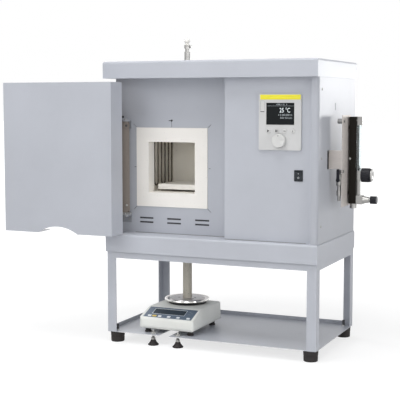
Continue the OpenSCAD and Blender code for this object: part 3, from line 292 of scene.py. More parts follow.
def tube_clay():
    """Unglazed ceramic tube: drawn lines and dark specks."""
    made = Finish("tube_clay", IOR=1.5)
    drawn = made.noise(60, 4, 0.6, stretch=(5, 5, 0.6))
    specks = made.span(made.noise(330, 2), 0.64, 0.72)
    tone = made.mix(made.span(drawn, 0.3, 0.7), (0.50, 0.465, 0.39), (0.60, 0.565, 0.485))
    made.feed("Base Color", made.mix(specks * 0.6, tone, (0.22, 0.19, 0.15)))
    made.feed("Roughness", 0.55 + drawn * 0.2)
    return made.relief(drawn - specks, 0.15, 0.0004).material


def hot_rod():
    """Silicide rod with a grey-brown glass skin."""
    made = Finish("hot_rod", Coat_Weight=0.1, Coat_Roughness=0.35)
    skin = made.noise(160, 5, 0.7, stretch=(1, 1, 0.25))
    tone = made.mix(made.span(skin, 0.35, 0.68), (0.045, 0.035, 0.027), (0.12, 0.098, 0.075))
    made.feed("Base Color", tone)
    made.feed("Roughness", 0.5 + skin * 0.3)
    return made.relief(skin, 0.35, 0.0005).material


def clear_glass():
    made = Finish("clear_glass", IOR=1.47, Transmission_Weight=1.0)
    haze = made.noise(35, 3)
    made.feed("Base Color", made.mix(haze, (0.93, 0.97, 0.98), (0.86, 0.92, 0.93)))
    made.feed("Roughness", 0.01 + haze * 0.05)
    return made.relief(haze, 0.02, 0.0002).material


def rubber(name, colour):
    made = Finish(name, IOR=1.45)
    bloom = made.noise(45, 5, 0.65)
    grain = made.noise(700, 2)
    made.feed("Base Color", made.mix(made.span(bloom, 0.42, 0.72), colour, shade(colour, 2.0)))
    made.feed("Roughness", 0.62 + bloom * 0.2)
    return made.relief(grain, 0.3, 0.0004).material


def glow(name, colour, strength):
    """Lit marks of a display, slightly uneven as backlights are."""
    made = Finish(name, Roughness=0.4, Emission_Strength=strength)
    uneven = made.noise(90, 2)
    tone = made.mix(made.span(uneven, 0.3, 0.7), shade(colour, 0.8), colour)
    made.feed("Base Color", tone).feed("Emission Color", tone)
    return made.material


PAINT = (0.497, 0.515, 0.565)
FINISHES = {
    "case_paint": powder_coat("case_coat", PAINT),
    # The side walls wear the case paint painted 10% darker: painted shade, not a different paint
    "side_paint": powder_coat("side_coat_painted_shade", shade(PAINT, 0.90)),
    "panel_paint": powder_coat("panel_coat", shade(PAINT, 0.99)),
    # The face plate wears the case paint painted darker: painted shade of the recess under the hood
    "face_paint": powder_coat("face_coat_painted_shade", shade(PAINT, 0.93)),
    "frame_paint": powder_coat("frame_coat", PAINT, 0.16),
    # The tray wears the stand's paint painted darker: painted shade under the furnace
    "tray_paint": powder_coat("tray_coat_painted_shade", shade(PAINT, 0.90), 0.12, 0.30),
    "screw_steel": sheet_steel("screw_zinc", (0.40, 0.40, 0.39), (60, 60, 60), 0.30),
    "bracket_steel": sheet_steel("bracket_sheet", (0.62, 0.575, 0.545), (8, 8, 420), 0.46, 0.3),
    "arm_steel": sheet_steel("arm_sheet", (0.185, 0.16, 0.142), (420, 420, 8), 0.46, 0.5),
    "chain_steel": sheet_steel("oiled_steel", (0.34, 0.34, 0.34), (80, 80, 80), 0.30),
    "fitting_chrome": bright_plate("nickel_plate", (0.36, 0.355, 0.345), 0.24),
    "collar_fibre": fibre_board("collar_board", (0.90, 0.872, 0.83), (0.78, 0.74, 0.67), 0.14),
    "chamber_fibre": fibre_board("fired_board", (0.95, 0.915, 0.84), (0.80, 0.75, 0.65), 0.25),
    "floor_fibre": fibre_board("dense_board", (0.87, 0.835, 0.77), (0.72, 0.67, 0.59), 0.25),
    "backup_fibre": fibre_board("soft_board", (0.84, 0.82, 0.76), (0.70, 0.66, 0.58), 0.25),
    "tube_ceramic": tube_clay(),
    "plate_ceramic": fibre_board("plate_clay", (0.92, 0.90, 0.85), (0.78, 0.74, 0.67), 0.25, 0.2),
    "element_rod": hot_rod(),
    "clamp_aluminium": sheet_steel("cast_clamp", (0.70, 0.71, 0.72), (90, 90, 90), 0.42),
    "bezel_plastic": plastic("bezel_moulding", (0.60, 0.60, 0.60), 0.42),
    "key_plastic": plastic("key_moulding", (0.65, 0.65, 0.64), 0.38),
    "screen_glass": plastic("screen_window", (0.009, 0.011, 0.012), 0.22, 300, 0.01, index=1.22),
    "switch_plastic": plastic("switch_moulding", (0.012, 0.016, 0.022), 0.34, 500, 0.1, 0.1),
    "gland_plastic": plastic("gland_nylon", (0.025, 0.025, 0.028), 0.42, 500, 0.15, 0.1),
    "gear_grey": plastic("gear_housing", (0.11, 0.12, 0.14), 0.5),
    "meter_black": sheet_steel("anodised_block", (0.013, 0.011, 0.009), (30, 30, 300), 0.42, 0.85),
    "clear_tube": clear_glass(),
    "knob_black": plastic("knob_moulding", (0.007, 0.007, 0.012), 0.28, 500, 0.1, 0.12, index=1.34),
    "balance_plastic": plastic("balance_moulding", (0.80, 0.81, 0.775), 0.40),
    "keypad_foil": plastic("keypad_foil", (0.105, 0.145, 0.20), 0.36, 900, 0.08),
    "pan_steel": pan_metal(),
    "rubber": rubber("foot_rubber", (0.016, 0.013, 0.013)),
}
EXTRA = {
    "yellow_foil": plastic("yellow_foil", (0.88, 0.80, 0.045), 0.35, 900, 0.05),
    "yellow_key": plastic("yellow_key", (0.70, 0.52, 0.10), 0.4),
    "white_key": plastic("white_key", (0.80, 0.83, 0.86), 0.35),
    "print_dark": plastic("print_dark", (0.03, 0.03, 0.035), 0.5),
    "print_pale": plastic("print_pale", (0.66, 0.68, 0.70), 0.5),
    "display_light": glow("display_light", (0.78, 0.84, 0.86), 0.45),
    "display_dim": glow("display_dim", (0.40, 0.44, 0.46), 0.25),
    "print_mid": plastic("print_mid", (0.26, 0.28, 0.31), 0.5),
    "seam_grey": plastic("seam_grey", (0.26, 0.26, 0.26), 0.5),
    "cut_edge": sheet_steel("cut_edge", (0.80, 0.80, 0.80), (60, 60, 60), 0.35, 0.3),
    "seam_dark": plastic("seam_dark", (0.05, 0.05, 0.055), 0.6),
    # The face paint painted much darker for the hinge brackets: painted shade, so they sink into the
    # shaded face
    "bracket_painted_shade": powder_coat("bracket_painted_shade", shade(PAINT, 0.6)),
    "balance_window": plastic("balance_window", (0.030, 0.045, 0.060), 0.22, 300, 0.01, index=1.3),
    "window_frame": plastic("window_frame", (0.62, 0.66, 0.70), 0.4),
}


# The hinge brackets take the darkened paint, which is painted shade
SPECIAL = {"balance_display": EXTRA["balance_window"], "hinge_brackets": EXTRA["bracket_painted_shade"]}


def paint_nodes():
    for entry in frame["record"]["subparts"]:
        target = NODES[entry["node"]]
        finish = SPECIAL.get(entry["node"], FINISHES[entry["material_slot"]])
        if not target.material_slots:
            target.data.materials.append(finish)
        for holder in target.material_slots:
            holder.material = finish


# Shapes

def add_part(mesh, part, placed=None):
    """Moves a finished part into the shape it belongs to."""
    if placed:
        bmesh.ops.transform(part, matrix=placed, verts=part.verts)
    bmesh.ops.recalc_face_normals(part, faces=part.faces)
    data = bpy.data.meshes.new("part")
    part.to_mesh(data)
    part.free()
    mesh.from_mesh(data)
    bpy.data.meshes.remove(data)


def soften(part, edges, width, steps=2):
    bmesh.ops.bevel(part, geom=edges, offset=width * MM, offset_type="OFFSET", segments=steps,
                    profile=0.5, affect="EDGES", clamp_overlap=True, material=-1)


def block(mesh, low, high, soft=0.0, steps=2):
    """A box between two corners of the drawing, with soft edges."""
    part = bmesh.new()
    low, high = at(*low), at(*high)
    bmesh.ops.create_cube(part, size=1)
    bmesh.ops.scale(part, vec=high - low, verts=part.verts)
    if soft:
        soften(part, part.edges[:], soft, steps)
    add_part(mesh, part, Matrix.Translation((high + low) / 2))


def turned(mesh, outline, centre, axis=(0, 0, 1), steps=32):
    """A turned part: (radius, height) points in millimetres, spun round an axis of the drawing."""
    part = bmesh.new()
    points = [part.verts.new((r * MM, 0, h * MM)) for r, h in outline]
    edges = [part.edges.new(pair) for pair in zip(points, points[1:])]
    bmesh.ops.spin(part, geom=points + edges, cent=(0, 0, 0), axis=(0, 0, 1), dvec=(0, 0, 0),
                   angle=2 * math.pi, steps=steps, use_merge=True, use_normal_flip=False,
                   use_duplicate=False)
    bmesh.ops.remove_doubles(part, verts=part.verts, dist=1e-6)
    turn = Vector((0, 0, 1)).rotation_difference(Vector(axis)).to_matrix().to_4x4()
    add_part(mesh, part, Matrix.Translation(at(*centre)) @ turn)


def prism(mesh, corners, depth, placed, soft=0.0):
    """A flat outline in millimetres, pulled up to a thickness and set on a frame."""
    part = bmesh.new()
    face = part.faces.new([part.verts.new((x * MM, y * MM, 0)) for x, y in corners])
    pulled = bmesh.ops.extrude_face_region(part, geom=[face], use_keep_orig=True)
    top = {g for g in pulled["geom"] if isinstance(g, bmesh.types.BMVert)}
    bmesh.ops.translate(part, vec=(0, 0, depth * MM), verts=list(top))
    if soft:
        soften(part, [edge for edge in part.edges if set(edge.verts) <= top], soft)
    add_part(mesh, part, placed)


def oval(width, height, corner, count=6):
    """Outline of a rectangle with round corners, centred."""
    points = []
    for turn, (sx, sy) in enumerate(((1, 1), (-1, 1), (-1, -1), (1, -1))):
        for step in range(count + 1):
            angle = math.radians(90 * turn + 90 * step / count)
            points.append((sx * (width / 2 - corner) + corner * math.cos(angle),
                           sy * (height / 2 - corner) + corner * math.sin(angle)))
    return points


def facing_front(x, y, z):
    """Frame on a plane that faces the front: outline X to the right, Y up, thickness forward."""
    return Matrix.Translation(at(x, y, z)) @ Matrix.Rotation(math.pi / 2, 4, "X")


def on_keypad(x, y, up):
    """Frame on the balance's sloped keypad."""
    return (Matrix.Translation(at(AXIS_X, KEYPAD_Y, KEYPAD_Z)) @ Matrix.Rotation(KEYPAD_TILT, 4, "X")
            @ Matrix.Translation(Vector((x, y, up)) * MM))


def finish_piece(name, mesh, material, body, crease=35, replaced=()):
    """Closes a shape, gives it its finish and sets it on its body."""
    bmesh.ops.recalc_face_normals(mesh, faces=mesh.faces)
    data = bpy.data.meshes.new(name)
    mesh.to_mesh(data)
    mesh.free()
    for face in data.polygons:
        face.use_smooth = True
    data.set_sharp_from_angle(angle=math.radians(crease))
    data.materials.append(material)
    made = bpy.data.objects.new(name, data)
    bpy.context.scene.collection.objects.link(made)
    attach(made, body)
    if replaced:
        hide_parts(*replaced)
    return made


def softened(node, name, width, body, slot, crease=40, steps=2):
    """A copy of a solid with its sharp edges broken, which stands for it."""
    mesh = bmesh.new()
    mesh.from_mesh(NODES[node].data)
    bmesh.ops.remove_doubles(mesh, verts=mesh.verts, dist=1e-6)
    bmesh.ops.dissolve_limit(mesh, angle_limit=math.radians(0.8), verts=mesh.verts, edges=mesh.edges,
                             use_dissolve_boundaries=False, delimit=set())
    sharp = [edge for edge in mesh.edges
             if len(edge.link_faces) == 2 and edge.calc_face_angle(0) > math.radians(crease)]
    bmesh.ops.bevel(mesh, geom=sharp, offset=width * MM, offset_type="OFFSET", segments=steps,
                    profile=0.5, affect="EDGES", clamp_overlap=True, material=-1)
    return finish_piece(name, mesh, FINISHES[slot], body, 50, [node])


def screw(mesh, centre, axis, head=8.0, rise=1.6, socket=True):
    """A pan-head screw with a hexagon socket, its head standing on a point."""
    r = head / 2
    outline = [(r * 0.98, 0), (r, rise * 0.35), (r * 0.86, rise * 0.8), (r * 0.6, rise)]
    recess = [(r * 0.42, rise), (r * 0.40, rise * 0.35), (0, rise * 0.3)]
    turned(mesh, outline + (recess if socket else [(0, rise * 1.04)]), centre, axis, 18)


def hexagon(across):
    r = across / math.sqrt(3)
    return [(r * math.cos(math.radians(60 * i)), r * math.sin(math.radians(60 * i))) for i in range(6)]


# Pieces of the stand

def dress_stand():
    mesh = bmesh.new()
    for sx in (-1, 1):
        for sy in (-1, 1):
            turned(mesh, [(0, 0), (19, 0), (20, 1), (20.4, 13), (19.6, 14.5), (20.6, 16), (21.5, 30),
                          (20.9, 31), (0, 31)], (sx * FOOT_X, sy * FOOT_Y, 0), steps=40)
        for y in (-146, 16):
            turned(mesh, [(0, 0), (9.4, 0), (10, 0.8), (9.6, 4), (8, 5), (8, 13), (0, 13)],
                   (AXIS_X + sx * 69, y, TRAY_TOP), steps=24)
    finish_piece("foot_pads", mesh, FINISHES["rubber"], "furnace", replaced=["rubber_feet"])

    for side, body in ((-1, "level_left"), (1, "level_right")):
        x = AXIS_X + side * LEVEL_STEP
        mesh = bmesh.new()
        turned(mesh, [(0, 0), (15, 0), (16, 0.8), (16, 3), (13.5, 5), (9, 11), (7.4, 15.5), (6, 17),
                      (0, 17)], (x, LEVEL_Y, 0), steps=36)
        finish_piece("level_cone_" + body[6:], mesh, FINISHES["rubber"], body,
                     replaced=["levelling_foot_" + body[6:]])
        mesh = bmesh.new()
        thread = [(0, 17)]
        for turn in range(21):
            thread += [(3.95, 18 + turn * 1.2), (3.3, 18.6 + turn * 1.2)]
        turned(mesh, thread + [(3.3, 43.4), (2.6, 44.8), (0, 45)], (x, LEVEL_Y, 0), steps=20)
        prism(mesh, hexagon(12.5), 5.5, Matrix.Translation(at(x, LEVEL_Y, 17)), 0.6)
        finish_piece("level_spindle_" + body[6:], mesh, FINISHES["fitting_chrome"], body)

    mesh = bmesh.new()
    low_z, high_z = TRAY_TOP - 1.8, TRAY_TOP - 0.2
    slot_left, slot_right = AXIS_X - SLOT_HALF, AXIS_X + SLOT_HALF
    for x0, y0, x1, y1 in ((-290, -186.3, slot_left, -185.9),
                           (slot_right, -186.3, 290, -185.9),
                           (slot_left - 0.1, -186, slot_left + 0.3, SLOT_BACK),
                           (slot_right - 0.3, -186, slot_right + 0.1, SLOT_BACK)):
        block(mesh, (x0, y0, low_z), (x1, y1, high_z))
    finish_piece("tray_edges", mesh, EXTRA["cut_edge"], "furnace")

    mesh = bmesh.new()
    for z in (48, 235, 424):
        screw(mesh, (WALL_X, -154, DECK_Z + z), (1, 0, 0))
        screw(mesh, (-WALL_X, -95, DECK_Z + z), (-1, 0, 0))
    for z in (543, 569):
        screw(mesh, (WALL_X, -63, z), (1, 0, 0), 7.5, 1.8)
    for z in (459, 645):
        screw(mesh, (359.5, METER_Y, z), (-1, 0, 0), 9, 2.4)
    for side in (-1, 1):
        nut = Matrix.Translation(at(AXIS_X + side * LEVEL_STEP, LEVEL_Y, TRAY_TOP))
        prism(mesh, hexagon(13), 6, nut, 0.7)
    for sx in (-1, 1):
        for sy in (-1, 1):
            nut = Matrix.Translation(at(sx * FOOT_X, sy * FOOT_Y, TRAY_TOP))
            prism(mesh, hexagon(10), 3, nut, 0.5)
    finish_piece("case_screws", mesh, FINISHES["screw_steel"], "furnace",
                 replaced=["case_fasteners"])

    mesh = bmesh.new()
    for sx in (-1, 1):
        for sy in (-1, 1):
            turned(mesh, [(0, 0), (3.9, 0), (3.9, 14), (3.2, 15), (0, 15)],
                   (sx * FOOT_X, sy * FOOT_Y, 35.8), steps=20)
    finish_piece("foot_studs", mesh, EXTRA["seam_dark"], "furnace")


# Pieces of the furnace front

def dress_controller():
    mesh = bmesh.new()
    prism(mesh, oval(117, 13.5, 1), 0.35, facing_front(BEZEL_X + 1.2, BEZEL_Y, BEZEL_Z + 68.7), 0.1)
    finish_piece("bezel_stripe", mesh, EXTRA["yellow_foil"], "furnace")

    mesh = bmesh.new()
    wide, tall = 83.4, 62.4
    for sx, sz, w, h in ((0, 1, wide, 1), (0, -1, wide, 1), (1, 0, 1, tall), (-1, 0, 1, tall)):
        cx = WINDOW_X + sx * (wide - 1) / 2
        cz = WINDOW_Z + sz * (tall - 1) / 2
        block(mesh, (cx - w / 2, BEZEL_Y - 0.35, cz - h / 2),
              (cx + w / 2, BEZEL_Y + 0.1, cz + h / 2), 0.15)
    finish_piece("display_rim", mesh, FINISHES["key_plastic"], "furnace")

    write_on_display()
    mesh = bmesh.new()
    for x0, z0, x1, z1 in ((FLAP_RIGHT - 0.6, FLAP_FOOT, FLAP_RIGHT, FLAP_TOP),
                           (FLAP_LEFT, FLAP_TOP - 0.5, FLAP_RIGHT, FLAP_TOP)):
        block(mesh, (x0, BEZEL_Y - 0.1, z0), (x1, BEZEL_Y + 0.3, z1))
    finish_piece("flap_seam", mesh, EXTRA["seam_grey"], "furnace")
    mesh = bmesh.new()
    block(mesh, (FLAP_LEFT - 0.1, BEZEL_Y - 0.1, FLAP_FOOT + 0.9),
          (FLAP_LEFT + 0.4, BEZEL_Y + 0.3, FLAP_TOP - 0.9))
    finish_piece("flap_edge", mesh, EXTRA["seam_grey"], "socket_flap")
    mesh = bmesh.new()
    block(mesh, (FLAP_LEFT - 0.5, BEZEL_Y - 0.12, FLAP_FOOT - 1.6),
          (FLAP_RIGHT, BEZEL_Y + 0.3, FLAP_FOOT + 0.2))
    finish_piece("flap_lip", mesh, EXTRA["seam_dark"], "furnace")

    # Outlines of the marks on the keys, several to a key where a mark has several parts
    def square(x, y):
        return [(x - 1.5, y - 1.5), (x + 1.5, y - 1.5), (x + 1.5, y + 1.5), (x - 1.5, y + 1.5)]

    def bar(low, high):
        return [(-0.6, low), (0.6, low), (0.6, high), (-0.6, high)]

    marks = {
        "start": [[(-3, -3.8), (4, 0), (-3, 3.8)]],
        "menu": [square(x, y) for x in (-1.9, 1.9) for y in (-1.9, 1.9)],
        "back": [[(-3.2, 0), (-0.6, 2.2), (-0.6, 0.8), (3, 0.8), (3, -2), (1.8, -2), (1.8, -0.6),
                  (-0.6, -0.6), (-0.6, -2)]],
        "info": [bar(-3, 1), bar(1.9, 3.1)],
    }
    for x, (word, outlines) in zip(KEY_X, marks.items()):
        mesh = bmesh.new()
        for outline in outlines:
            prism(mesh, outline, 0.25, facing_front(x, BEZEL_Y - 1.72, KEY_Z))
        finish_piece("key_mark_" + word, mesh, EXTRA["print_dark"], word + "_key")
        mesh = bmesh.new()
        turned(mesh, [(6.35, 0), (7.4, 0), (7.4, 0.25), (6.9, 0.4), (6.35, 0.25), (6.35, 0)],
               (x, BEZEL_Y, KEY_Z), (0, -1, 0), 32)
        finish_piece("key_ring_" + word, mesh, FINISHES["bezel_plastic"], "furnace")

    mesh = bmesh.new()
    turned(mesh, [(20.1, -0.3), (21.6, -0.3), (21.6, 0.3), (20.9, 0.8), (20.1, 0.3), (20.1, -0.3)],
           (DIAL_X, BEZEL_Y, DIAL_Z), (0, -1, 0), 48)
    finish_piece("dial_ring", mesh, FINISHES["bezel_plastic"], "furnace")
    mesh = bmesh.new()
    prism(mesh, [(-1.5, 12.6), (1.5, 12.6), (0, 15.4)], 0.3,
          facing_front(DIAL_X, BEZEL_Y - 13.3, DIAL_Z))
    finish_piece("dial_pointer", mesh, EXTRA["print_dark"], "dial")

    mesh = bmesh.new()
    turned(mesh, [(1.9, 0), (2.6, 0), (2.6, 0.25), (1.9, 0.25), (1.9, 0)],
           (ROCKER_X, PANEL_Y - 2.5, ROCKER_Z - 5.6), (0, -1, 0.12), 20)
    block(mesh, (ROCKER_X - 0.4, PANEL_Y - 3.9, ROCKER_Z + 4),
          (ROCKER_X + 0.4, PANEL_Y - 3.3, ROCKER_Z + 8.6), 0.1)
    finish_piece("rocker_marks", mesh, EXTRA["print_pale"], "mains_rocker")


def write_on_display():
    """A plain reading in numbers and a few rows of small print."""
    bright, dim = bmesh.new(), bmesh.new()
    rows = [(bright, "25 °C", 13, -2, 28.5, 3.7), (dim, "12:00:00 h", 5, -5, 34, -5.5),
            (dim, "0.0 %/min", 5, 0, 34, -13.5), (dim, "08:15 1", 4.2, -11, 19, 23.7)]
    for mesh, words, height, left, right, base in rows:
        curve = bpy.data.curves.new("reading", "FONT")
        curve.body = words
        holder = bpy.data.objects.new("reading", curve)
        bpy.context.scene.collection.objects.link(holder)
        bpy.context.view_layer.update()
        graph = bpy.context.evaluated_depsgraph_get()
        flat = bpy.data.meshes.new_from_object(holder.evaluated_get(graph))
        bpy.data.objects.remove(holder)
        part = bmesh.new()
        part.from_mesh(flat)
        bpy.data.meshes.remove(flat)
        bmesh.ops.dissolve_degenerate(part, edges=part.edges, dist=1e-5)
        xs, ys = [v.co.x for v in part.verts], [v.co.y for v in part.verts]
        wide, tall = (right - left) * MM / (max(xs) - min(xs)), height * MM / (max(ys) - min(ys))
        for v in part.verts:
            v.co = ((v.co.x - min(xs)) * wide, (v.co.y - min(ys)) * tall, 0)
        add_part(mesh, part, facing_front(WINDOW_X + left, BEZEL_Y + 0.3, WINDOW_Z + base))
    block(dim, (WINDOW_X - 39, BEZEL_Y + 0.3, WINDOW_Z + 21.3),
          (WINDOW_X + 39, BEZEL_Y + 0.45, WINDOW_Z + 21.8))
    finish_piece("display_reading", bright, EXTRA["display_light"], "furnace")
    finish_piece("display_rows", dim, EXTRA["display_dim"], "furnace")


def dress_front():
    mesh = bmesh.new()
    turned(mesh, [(2.8, 0), (3.4, 0), (3.6, 0.5), (2.6, 0.9), (1.5, 0.9), (1.4, 0.2), (0, 0.2)],
           (-302, FACE_Y, 672), (0, -1, 0), 20)
    turned(mesh, [(0, 0), (3.1, 0), (3.1, 0.9), (2.2, 1.4), (0, 1.4)],
           (AXIS_X, FACE_Y, 662), (0, -1, 0), 20)
    block(mesh, (AXIS_X - 9, FACE_Y - 1.0, 661), (AXIS_X + 4, FACE_Y - 0.1, 663), 0.2)
    finish_piece("face_pins", mesh, EXTRA["seam_dark"], "furnace")

    mesh = bmesh.new()
    for z in (366, 647):
        for x in (-298, -280):
            screw(mesh, (x, FACE_Y - 3, z), (0, -1, 0), 5.5, 1.6)
    finish_piece("hinge_screws", mesh, FINISHES["chain_steel"], "furnace")

    mesh = bmesh.new()
    block(mesh, (46, PANEL_Y - 0.3, DECK_Z + 0.2), (288, PANEL_Y + 0.3, DECK_Z + 2))
    block(mesh, (-262, FACE_Y - 0.3, DECK_Z + 0.2), (45, FACE_Y + 0.3, DECK_Z + 2))
    finish_piece("deck_seams", mesh, EXTRA["seam_grey"], "furnace")

    # Dark sheets just behind the slits and air slots: painted shade, standing for the shadow inside the
    # slots
    mesh = bmesh.new()
    back, behind = FACE_Y + 1.6, FACE_Y + 2.3
    block(mesh, (AXIS_X - 120, back, 353), (AXIS_X + 124, behind, 378))
    for side in (-1, 1):
        x = AXIS_X + side * 126
        block(mesh, (x - 9, back, 392), (x + 9, behind, 668))
        z = 524 + side * 127.5
        block(mesh, (AXIS_X - 116.5, back, z - 9.5), (AXIS_X + 116.5, behind, z + 15.5))
    finish_piece("slot_painted_shade", mesh, EXTRA["seam_dark"], "furnace")


def dress_arm():
    """Ring, pin and screw on the arm's cover plate, turned with the open arm."""
    turn = math.radians(360 - SWING)
    out = Vector((-math.sin(turn), math.cos(turn), 0))
    along = Vector((math.cos(turn), math.sin(turn), 0))
    mesh = bmesh.new()
    knuckle = Vector((HINGE_X, HINGE_Y, 646.7)) + along * -2 + out * 13
    turned(mesh, [(5.2, 0), (9.6, 0), (9.6, 0.7), (8.8, 1.3), (6, 1.3), (5.2, 0.7), (5.2, 0)],
           tuple(knuckle), tuple(out), 36)
    finish_piece("arm_knuckle_ring", mesh, FINISHES["arm_steel"], "arm")
    mesh = bmesh.new()
    screw(mesh, tuple(knuckle), tuple(out), 7, 0.8)
    finish_piece("arm_knuckle_pin", mesh, EXTRA["seam_dark"], "arm")
    mesh = bmesh.new()
    spot = Vector((HINGE_X, HINGE_Y, 411)) + along * -2 + out * 12.4
    screw(mesh, tuple(spot), tuple(out), 6.4, 2.4)
    finish_piece("arm_screw", mesh, FINISHES["screw_steel"], "arm")


def dress_door():
    low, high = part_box("door_shell")
    left, right = (low - SHIFT).x / MM, (high - SHIFT).x / MM
    front = (low - SHIFT).y / MM
    mesh = bmesh.new()
    for x in (left + 30, left + 182, right - 30):
        for z in (352, 752):
            screw(mesh, (x, front + 14, z), (0, 1, 0), 8, 2)
    finish_piece("door_liner_screws", mesh, FINISHES["screw_steel"], "door")
    mesh = bmesh.new()
    for z in (368, 674):
        for side in (-1, 1):
            screw(mesh, (PIVOT_X + side * 17, front + 17, z), (0, 1, 0), 6.5, 2)
    finish_piece("door_pivot_screws", mesh, FINISHES["screw_steel"], "door")


# Pieces of the gas unit

def dress_gas_unit():
    mesh = bmesh.new()
    turned(mesh, [(0, 0), (17.4, 0), (17.9, 0.6), (17.9, 1.8), (16.4, 3.0), (11, 3.2), (10.4, 2.8),
                  (0, 2.8)], (METER_FRONT_X + 41, METER_Y, 510), (1, 0, 0), 48)
    finish_piece("knob_cap", mesh, FINISHES["fitting_chrome"], "gas_knob")
    mesh = bmesh.new()
    for step in range(21):
        z = 528 + step * 5
        reach = 5.5 if step % 5 == 0 else 3.2
        for y0, y1 in ((METER_Y - 14, METER_Y - 14 + reach), (METER_Y + 14 - reach, METER_Y + 14)):
            block(mesh, (METER_FRONT_X - 0.1, y0, z - 0.35), (METER_FRONT_X + 0.15, y1, z + 0.35))
    finish_piece("meter_scale", mesh, EXTRA["print_pale"], "furnace")
    mesh = bmesh.new()
    for y in (METER_Y - 10.5, METER_Y + 10.5):
        for z in (437, 665):
            screw(mesh, (METER_FRONT_X, y, z), (1, 0, 0), 5, 1.4)
    turned(mesh, [(0, 0), (3, 0), (3, 1.6), (1.5, 1.8), (0, 1.8)],
           (METER_X + 3.4, METER_Y - 15, 557), (0, -1, 0), 20)
    finish_piece("meter_screws", mesh, FINISHES["screw_steel"], "furnace")


# Pieces of the balance

def dress_balance():
    softened("balance_housing", "balance_case", 2.2, "furnace", "balance_plastic", 24, 3)
    mesh = bmesh.new()
    for x in (-60, -27, 2.5, 33, 65.6):
        prism(mesh, oval(11, 8, 2.4), 0.9, on_keypad(x, -20, -0.3), 0.4)
    finish_piece("balance_keys", mesh, EXTRA["white_key"], "furnace")
    mesh = bmesh.new()
    prism(mesh, oval(13, 8, 2.4), 0.9, on_keypad(-44.5, -20, -0.3), 0.4)
    finish_piece("balance_tare_key", mesh, EXTRA["yellow_key"], "furnace")
    mesh = bmesh.new()
    for x, y, w, h in ((-5, 20.6, 106, 1.2), (-5, -7.6, 106, 1.2), (-57.4, 6.5, 1.2, 29),
                       (47.4, 6.5, 1.2, 29)):
        prism(mesh, oval(w, h, 0.4), 0.25, on_keypad(x, y, -0.1))
    finish_piece("balance_frame", mesh, EXTRA["window_frame"], "furnace")
    mesh = bmesh.new()
    for x, y in ((58, 15), (66, 8), (60, 2)):
        prism(mesh, oval(7, 1.8, 0.8), 0.25, on_keypad(x, y, -0.3))
    finish_piece("balance_print", mesh, EXTRA["print_mid"], "furnace")

    # A dark ring under the pan's edge: painted shade of the gap below the pan
    mesh = bmesh.new()
    turned(mesh, [(12, 0), (56, 0), (57, 0.8), (57, 2.6), (52, 3), (12, 3), (12, 0)],
           (AXIS_X, AXIS_Y, 103), steps=64)
    finish_piece("pan_gap_painted_shade", mesh, EXTRA["seam_dark"], "furnace")
    mesh = bmesh.new()
    for side, y in ((-1, -9), (1, 4), (1, -12)):
        turned(mesh, [(0, 0), (2.6, 0), (2.6, 0.35), (1.6, 0.5), (0, 0.3)],
               (AXIS_X + side * (24 if y else 30), AXIS_Y + y, 118), steps=18)
    finish_piece("pan_screws", mesh, EXTRA["seam_dark"], "scale")


# Pieces of the rear and the roof

def dress_rear():
    mesh = bmesh.new()
    for x in (-305, -100, 105, 305):
        for z in (DECK_Z + 14, HOOD_Z - 14):
            screw(mesh, (x, REAR_Y, z), (0, 1, 0))
    for z in (DECK_Z + 150, DECK_Z + 300):
        for x in (-305, 305):
            screw(mesh, (x, REAR_Y, z), (0, 1, 0))
    finish_piece("rear_screws", mesh, FINISHES["screw_steel"], "furnace")


def dress_roof():
    mesh = bmesh.new()
    for angle in range(0, 360, 90):
        a = math.radians(angle + 45)
        x, y = AXIS_X + 10.8 * math.cos(a), AXIS_Y + 10.8 * math.sin(a)
        screw(mesh, (x, y, TOP_Z + 2), (0, 0, 1), 3, 0.9)
    finish_piece("gland_screws", mesh, FINISHES["screw_steel"], "furnace")


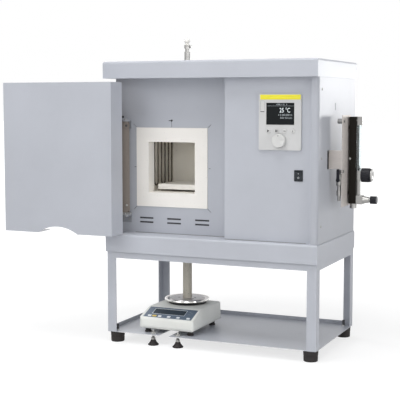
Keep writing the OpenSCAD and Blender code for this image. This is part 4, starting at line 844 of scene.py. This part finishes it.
def set_floor():
    """Pale paper that keeps the object's shadow and turns white away from it."""
    mesh = bmesh.new()
    bmesh.ops.create_grid(mesh, x_segments=1, y_segments=1, size=30)
    data = bpy.data.meshes.new("studio_floor")
    mesh.to_mesh(data)
    mesh.free()
    floor = bpy.data.objects.new("studio_floor", data)
    bpy.context.scene.collection.objects.link(floor)
    made = Finish("floor_paper", Roughness=0.9)
    cloud = made.noise(2, 2)
    made.feed("Base Color", made.mix(cloud, (0.84, 0.84, 0.84), (0.86, 0.86, 0.86)))
    away = made.span(radius_wire(made, 0, 0), 0.55, 1.7, 0.6, 1.0)
    paper = Wire(made, made.surface.outputs[0])
    white = made.add("ShaderNodeEmission", {}, {"Color": (1, 1, 1, 1), "Strength": 1.2})
    blend = made.add("ShaderNodeMixShader", {}, (made.seen() * away, paper, white))
    made.show(blend, "Material Output")
    data.materials.append(made.material)


def set_world():
    """Soft pale light from all round, and plain white where the background itself is seen."""
    world = bpy.data.worlds.new("studio")
    bpy.context.scene.world = world
    world.use_nodes = True
    sky = Nodes(world.node_tree)
    dome = sky.tree.nodes["Background"]
    dome.inputs["Color"].default_value = (0.97, 0.985, 1.0, 1)
    dome.inputs["Strength"].default_value = 0.24
    white = sky.add("ShaderNodeBackground", {}, {"Color": (1, 1, 1, 1), "Strength": 1.0})
    blend = sky.add("ShaderNodeMixShader", {}, (sky.seen(), Wire(sky, dome.outputs[0]), white))
    sky.show(blend, "World Output")


set_camera()
set_world()
set_floor()
add_lamp("window_light", "SPOT", (1.86, 3.2, 0.86), (0.419, 0.0, 0.80), 140, spot_size=math.radians(11),
         spot_blend=0.6, shadow_soft_size=0.3)
add_lamp("front_fill", "AREA", (-1.5, -3.1, 2.5), (0, 0, 0.45), 37, size=1.8)
add_lamp("front_right", "AREA", (1.1, -3.2, 1.3), (0, 0, 0.5), 15, size=1.0)
add_lamp("right_fill", "AREA", (3.3, -1.2, 1.1), (0.3, 0, 0.35), 22, size=1.4)
add_lamp("rear_fill", "AREA", (-2.9, 2.1, 2.6), (0, 0, 0.4), 46, size=1.5)
add_lamp("top_fill", "AREA", (0.2, -0.8, 2.8), (0.1, 0, 0.4), 36, size=1.4)
bpy.context.scene.view_settings.view_transform = "Standard"

paint_nodes()
dress_stand()
dress_controller()
dress_front()
dress_arm()
dress_door()
dress_gas_unit()
dress_balance()
dress_rear()
dress_roof()
